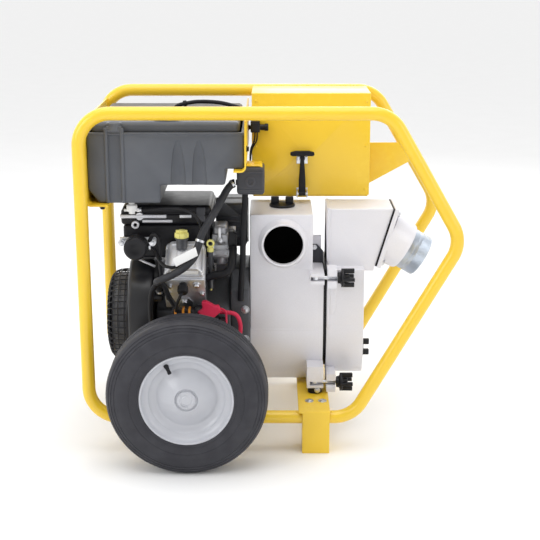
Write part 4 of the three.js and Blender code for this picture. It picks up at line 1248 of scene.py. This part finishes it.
def build_filler_cap():
    """The yellow oil cap with lugs round its rim and a grip bar, on its neck."""
    centre = OIL_CAP
    disc = [(0, 0.3), (15, 0.3), (16, 1.2), (16, 12.6), (14, 14), (9, 14.4), (9, 21), (0, 21)]
    lug = block(
        (centre[0] + 12.4, centre[0] + 18), (centre[1] - 4.6, centre[1] + 4.6), (557.6, 570.4), 2, 3)
    grips = ring_of(lug, 6, centre, Z_AXIS)
    bar = block((centre[0] - 15, centre[0] + 15), (centre[1] - 3.6, centre[1] + 3.6), (569, 578), 2, 4)
    cap = joined(turned(disc, centre, Z_AXIS, 48), grips, bar)
    deliver(cap, "oil_filler_cap", "cap_yellow", "filler_cap", ("oil_cap",))
    neck = turned(
        [(0, -28), (14.6, -28), (14.6, -4), (17.4, -3), (17.4, -0.4), (0, -0.4)], centre, Z_AXIS, 40)
    deliver(neck, "oil_filler_neck", "dark_alloy")


def build_fan_guard():
    """Hoops and ribs, with the fan inside them."""
    centre = (0, 0, SHAFT_Z)
    rings = []
    hoops = [
        (33, -440.4), (52, -440), (72, -438.6), (92, -436), (110, -430), (121, -420), (124.6, -405),
        (125.4, -388)]
    for radius, x in hoops:
        rings.append(turned([(radius - 1.6, x - 1.2), (radius - 1.6, x + 1.8), (radius + 0.6, x + 1.8),
                             (radius + 0.6, x - 1.2)], centre, X_AXIS, 96))
    rib = pipe(
        [
            (-376, 0, 424.6), (-396, 0, 425), (-412, 0, 423), (-424, 0, 417), (-432, 0, 407),
            (-437, 0, 391), (-439, 0, 372), (-440, 0, 346), (-440, 0, 331)],
        1.5, sides=2)
    ribs = ring_of(rib, 44, centre, X_AXIS)
    boss = turned([(0, -441.8), (30, -441.8), (33.6, -440), (33.6, -436), (0, -436)], centre, X_AXIS, 64)
    rim = turned(
        [(121, -383), (126, -383), (127.6, -379), (127.6, -375.6), (121, -375.6)], centre, X_AXIS, 96)
    deliver(joined(*rings, ribs, boss, rim), "fan_guard_ribs", "black_plastic", replaces=("fan_guard",))
    disc = turned(
        [(0, -381), (111, -381), (112, -421), (114, -421), (118, -379), (118, -376.4), (0, -376.4)],
        centre, X_AXIS, 72)
    blade = plate([(-414, -10), (-382, 16), (-380, 14), (-412, -12)], (330, 408), "XY", 0.8, 2)
    hub = turned([(0, -434), (26, -434), (40, -428), (62, -414), (80, -398), (86, -380), (0, -380)], centre,
                 X_AXIS, 64)
    fan = joined(disc, hub, ring_of(blade, 16, centre, X_AXIS))
    deliver(fan, "cooling_fan", "dark_alloy")


def build_air_cleaner():
    """The filter case and lid, silver bars along them as painted highlights, metal rings and rods, and the
    latch.
    """
    case = plate([(-390, -100), (-150, -100), (-150, 100), (-390, 100)], (575, 618), "XY", 9, 5)
    lid = block((-386, -154), (-101, 101), (603, 627), 10, 6)
    lip = block((-391, -149), (-105, 105), (600.6, 604.4), 1.6, 3)
    shroud = plate([(-385, 520), (-350, 486), (-160, 486), (-160, 575), (-385, 575)], (-98, 98), "XZ", 7, 4)
    deliver(joined(case, lid, lip, shroud), "air_cleaner_case", "black_plastic", replaces=("air_cleaner",))
    # Painted highlights: the three silver bars on the case's front stand in for reflections on the black
    # plastic.
    trim_and_highlight_bars = [
        block((-392, -270), (-109, -103.6), (595, 605), 2.2, 4),
        block((-334, -255), (-104, -99), (582, 590.6), 2.2, 4),
        block((-236, -205), (-109, -103.6), (595.6, 604.6), 2.2, 4),
    ]
    for x, z in ((-352, 577), (-340, 600)):
        trim_and_highlight_bars.append(turned([(4.6, -1), (9.6, -1), (10.4, 0), (10.4, 9), (9.4, 10.2), (5.6, 10.2), (4.6, 9)],
                           (x, -98, z), -Y_AXIS, 36))
    for start, end in (((-376, -104, 500), (-338, -104, 480)), ((-338, -104, 480), (-303, -104, 464))):
        trim_and_highlight_bars.append(rod(start, end, 3.4, sides=24, bevel=1))
    deliver(joined(*trim_and_highlight_bars), "air_cleaner_trim_and_highlights", "alloy")
    grip = block((-192, -169), (-105, -98), (585, 623), 3, 4)
    deliver(grip, "air_cleaner_latch", "grey_plastic")


def build_fuel_pump():
    """A ribbed round pump with its plate and two long bolts."""
    centre = FUEL_PUMP
    fins = [(0, 0), (27, 0)]
    for step in range(6):
        fins += [
            (31, 3 + step * 5.6), (31, 5.4 + step * 5.6), (27.6, 6.2 + step * 5.6),
            (27.6, 7.8 + step * 5.6)]
    fins += [(29, 37), (26, 39.6), (14, 40.6), (11, 39), (0, 39)]
    stem = rod((-347, -132, 532), (-347, -95.5, 532), 12, bevel=0.8)
    body = joined(turned(fins, centre, -Y_AXIS, 64), stem)
    deliver(body, "fuel_pump_case", "black_plastic", replaces=("fuel_pump",))
    bolts = [hex_bolt((x, -150, 540), -Y_AXIS, 11, 6, 9) for x in (-384, -304)]
    bolts += [rod((x, -150, 540), (x, -96, 540), 4, bevel=0.5) for x in (-384, -304)]
    bolts.append(plate([(-392, 532), (-296, 532), (-296, 549), (-392, 549)], (-125.6, -122), "XZ", 1.2))
    deliver(joined(*bolts), "fuel_pump_bolts", "zinc")


def build_carburettor():
    """The body and bowl, the throttle arm, the linkage and the intake duct."""
    body = [
        block((-156, -110), (-58, 36), (474, 540), 4, 4),
        block((-152, -114), (-52, 24), (536, 559), 6, 5)]
    body.append(rod((-110, -10, 530), (-92.4, -10, 530), 20, bevel=1))
    body.append(turned([(0, -22), (17, -22), (19, -18), (19, 2), (0, 2)], (-133, -20, 474), Z_AXIS, 48))
    body.append(block((-159.4, -108.4), (-61.6, -56), (480, 512), 2, 3))
    deliver(joined(*body), "carburettor_body", "alloy", replaces=("carburettor",))
    arm = plate(
        [(-138, 520), (-130, 520), (-129.6, 556), (-131, 561), (-137, 561), (-138.4, 556)], (-69, -65.6),
        "XZ", 0.8)
    boss = turned([(4, 0.3), (9, 0.3), (9, 7.4), (8, 8), (0, 8), (0, 0.3)], (-134, -62, 525), -Y_AXIS, 32)
    nut = hex_bolt((-134, -69.6, 525), -Y_AXIS, 7, 3, 0.6)
    deliver(joined(arm, boss, nut), "throttle_arm", "zinc", "throttle", ("throttle_lever",))
    parts = []
    for x, z in ((-152, 506), (-116, 506), (-152, 486), (-116, 486)):
        parts.append(hex_bolt((x, -61.6, z), -Y_AXIS, 8, 4, 6))
    coil = [(-152 + 34 * step / 90, -66 + 3 * math.cos(step * 0.9), 517 + 3 * math.sin(step * 0.9))
            for step in range(91)]
    parts.append(pipe(coil, 0.8, sides=2))
    parts.append(rod((-165, -66, 499), (-104, -66, 499), 1.8, sides=16, bevel=0.4))
    deliver(joined(*parts), "carburettor_linkage", "zinc")
    cover = plate([(-110, 505), (-88, 505), (-88, 548), (-96, 556), (-110, 556)], (-92, -60), "XZ", 3, 3)
    deliver(cover, "intake_duct", "black_plastic")


def build_starter():
    """The starter motor, its solenoid and cables, and the regulator above it."""
    y, z = STARTER
    body = turned(
        [
            (0, -250), (30, -250), (34, -248), (37.4, -244), (38, -240), (38, -212), (37, -211),
            (37, -208), (38, -207), (38, -134), (37, -133), (37, -130), (38, -129), (38, -118),
            (36, -115), (0, -115)],
        (0, y, z), X_AXIS, 72)
    relay = turned([(0, -196), (16, -196), (18.4, -194), (19, -190), (19, -146), (17.6, -144), (17.6, -134),
                    (16, -132), (0, -132)], (0, -150, 352), X_AXIS, 56)
    yoke = block((-200, -136), (-164, -138), (328, 342), 3, 3)
    deliver(joined(body, relay, yoke), "starter_case", "enamel", replaces=("starter_motor",))
    studs = [hex_bolt((-250, y - 22, z + side * 20), -X_AXIS, 8, 4, 5.6) for side in (-1, 1)]
    studs.append(hex_bolt((-132, -150, 360), X_AXIS, 8, 5, 5.6))
    deliver(joined(*studs), "starter_studs", "zinc")
    boot = plate(
        [
            (-178, 388), (-167, 389.5), (-143, 375.7), (-133.4, 377), (-126, 362), (-148, 342),
            (-173, 342), (-190.6, 359.6), (-175.8, 366.9)],
        (-177, -158), "XZ", 4, 4)
    cable = pipe(smooth_route([(-131.2, -150, 352), (-110, -152, 352), (-88, -154, 345), (-78, -154, 318),
                               (-80, -150, 285), (-86, -138, 250)], 10), 5.5)
    lead = pipe(smooth_route([(-134, -166, 368), (-118, -168, 362), (-114, -166, 340), (-116, -160, 308),
                              (-120, -140, 290)], 8), 2.6)
    deliver(joined(cable, boot, lead), "starter_cable", "red_rubber", replaces=("battery_cable",))
    coil = block((-255, -198), (-195, -168), (340, 372), 4, 4)
    deliver(coil, "regulator_block", "black_plastic")
    tapes = [block((x, x + 6), (-196.4, -166.6), (338.6, 373.4), 1.2, 2) for x in (-248, -228, -212)]
    deliver(joined(*tapes), "regulator_tapes", "copper_orange")


def build_muffler():
    """The muffler with a louvred heat shield in front of it."""
    body = block((-150, -62), (60, 205), (474, 598), 16, 6)
    seam = block((-152, -60), (130, 135), (472, 600), 2.2, 3)
    outlet = turned(
        [(12, -2), (17.4, -2), (17.4, 14), (16, 15), (13, 15), (12, 14)], (-106, 204, 502), Y_AXIS, 40)
    carved(body, rod((-106, 196, 502), (-106, 209, 502), 12, bevel=0.2))
    posts = [block((x - 5, x + 5), (50, 62), (520, 540), 1, 2) for x in (-135, -78)]
    shield = plate(
        [(-148, 495), (-66, 482), (-62, 552), (-126, 604), (-148, 604)], (47, 50.5), "XZ", 1.2, 3)
    louvres = []
    for row in range(5):
        z = 506 + row * 14
        louvres.append(rod((-138, 47.4, z + 6), (-84, 47.4, z), 3, sides=24, bevel=2))
    body_parts = joined(body, seam, outlet, *posts, shield, *louvres)
    deliver(body_parts, "muffler_shell", "dark_alloy", replaces=("muffler",))


def build_dipstick():
    """The dipstick with its ring handle, and its tube."""
    x, y, z = DIPSTICK
    stem = rod((x, y, z - 110), (x, y, z), 3, sides=20, bevel=0.4)
    ring = turned(
        [(6.2, -4), (9.4, -4), (11, -2.4), (11, 2.4), (9.4, 4), (6.2, 4)], (x, y, z + 17.6), Y_AXIS, 44)
    plug = turned([(0, -4), (8, -4), (8.6, -2), (8.6, 5), (6, 8.4), (0, 8.4)], (x, y, z), Z_AXIS, 36)
    deliver(joined(stem, ring, plug), "dipstick_handle", "cap_yellow", "dipstick_rod", ("dipstick",))
    tube = turned(
        [(4, -104), (6.4, -104), (6.4, -8), (7.4, -6), (7.4, -4.4), (4, -4.4)], (x, y, z), Z_AXIS, 32)
    deliver(tube, "dipstick_tube", "dark_alloy")


FUEL_ROUTE = [
    (-335.2, -170, 631), (-300, -171, 634), (-250, -180, 637), (-212, -190, 634), (-186, -200, 619),
    (-174, -204, 595), (-173, -204, 570), (-188, -208, 545), (-212, -216, 508), (-240, -226, 496),
    (-266, -222, 497), (-286, -190, 508), (-294, -166, 521), (-302, -153, 526), (-314.3, -150, 527),
]
BREATHER_ROUTE = [
    (-90, -130, 694), (-95, -130.5, 693), (-110, -142, 678), (-128, -168, 648), (-152, -206, 612),
    (-171, -226, 582), (-180, -236, 555), (-190, -243, 528), (-212, -246, 503), (-240, -246, 484),
    (-268, -242, 470), (-286, -226, 458), (-290, -196, 446), (-290, -160, 430), (-290, -136, 414),
    (-290, -130, 403), (-290, -130, 396.5),
]


def build_hoses():
    """The hoses with their clamps, the fuel tap, the canister and the wiring."""
    deliver(pipe(smooth_route(FUEL_ROUTE), 4.2), "fuel_hose", "black_rubber", replaces=("fuel_line",))
    deliver(
        pipe(smooth_route(BREATHER_ROUTE), 9.5), "breather_hose", "hose_rubber",
        replaces=("canister_hose",))
    valve = [
        turned(
            [
                (0, 0), (8, 0), (8, 6), (13, 7), (13.6, 10), (13.6, 22), (12, 24), (8, 25), (8, 33),
                (0, 33)],
            (-352, -170, 622), Z_AXIS, 40)]
    valve.append(rod((-340, -170, 631), (-330, -170, 631), 5, bevel=0.8))
    valve.append(block((-372, -362), (-174, -166), (628, 634), 1.6, 3))
    deliver(joined(*valve), "fuel_tap", "white_plastic", replaces=("fuel_valve",))
    case = block((-85, -14), (-148, -60), (665, 736), 9, 5)
    rim = turned(
        [(7, -1), (13, -1), (13, 1.6), (11, 2.4), (8, 2.4), (7, 1.6)], (-50, -148, 700), -Y_AXIS, 40)
    ribs = [block((-83, -16), (-149.6, -147), (z, z + 3), 1, 2) for z in (676, 722)]
    port = turned([(0, 0), (7, 0), (7, 3), (0, 3)], (-85, -130, 695), -X_AXIS, 24)
    deliver(
        joined(case, rim, port, *ribs), "vapour_canister", "grey_plastic", replaces=("carbon_canister",))
    drop = pipe(smooth_route([(-64, -114, 667), (-66, -114, 620), (-70, -114, 560), (-72, -114, 480),
                              (-76, -112, 420), (-78, -108, 372)]), 8)
    deliver(drop, "canister_drop_hose", "black_rubber")
    loom = pipe(smooth_route([(-240, -190, 372), (-262, -196, 410), (-280, -202, 446), (-304, -196, 420),
                              (-310, -180, 350), (-308, -150, 300), (-302, -100, 270)]), 7)
    link = pipe(smooth_route([(-312, -150, 545), (-296, -166, 566), (-283, -170, 545), (-283, -178, 490),
                              (-276, -186, 445), (-262, -192, 400)]), 5)
    deliver(joined(loom, link), "wiring_loom", "black_rubber")
    curved = pipe(smooth_route([(-167, -134, 440), (-145, -136, 449), (-122, -134, 452), (-104, -128, 466),
                                (-98, -116, 492), (-97, -96, 512)]), 10.5)
    deliver(curved, "intake_breather", "black_rubber")
    tag = plate([(-243, 526), (-186, 556), (-180, 534), (-236, 505)], (-258.4, -256.6), "XZ", 0.6, 2)
    deliver(tag, "hose_blank_tag", "white_plastic")
    bands = []
    for at, along in (((-176.5, -231, 565), (-0.3, -0.3, -0.9)), ((-290, -131, 405), (0, 0.4, -0.9)),
                      ((-97, -132, 691), (-0.8, -0.3, -0.5))):
        bands.append(turned([(9.4, -3), (11.4, -3), (11.4, 3), (9.4, 3)], at, along, 36))
    for at, along in (((-330, -170, 631.4), (1, 0, 0.08)), ((-311, -151, 526.9), (1, 0, 0))):
        bands.append(turned([(4.2, -2.4), (6.2, -2.4), (6.2, 2.4), (4.2, 2.4)], at, along, 28))
    deliver(joined(*bands), "hose_clamps", "zinc")


# ---- whole ---------------------------------------------------------------------------------

set_stage()
build_cage()
build_wheels()
build_pump()
build_box()
build_tank()
build_engine()
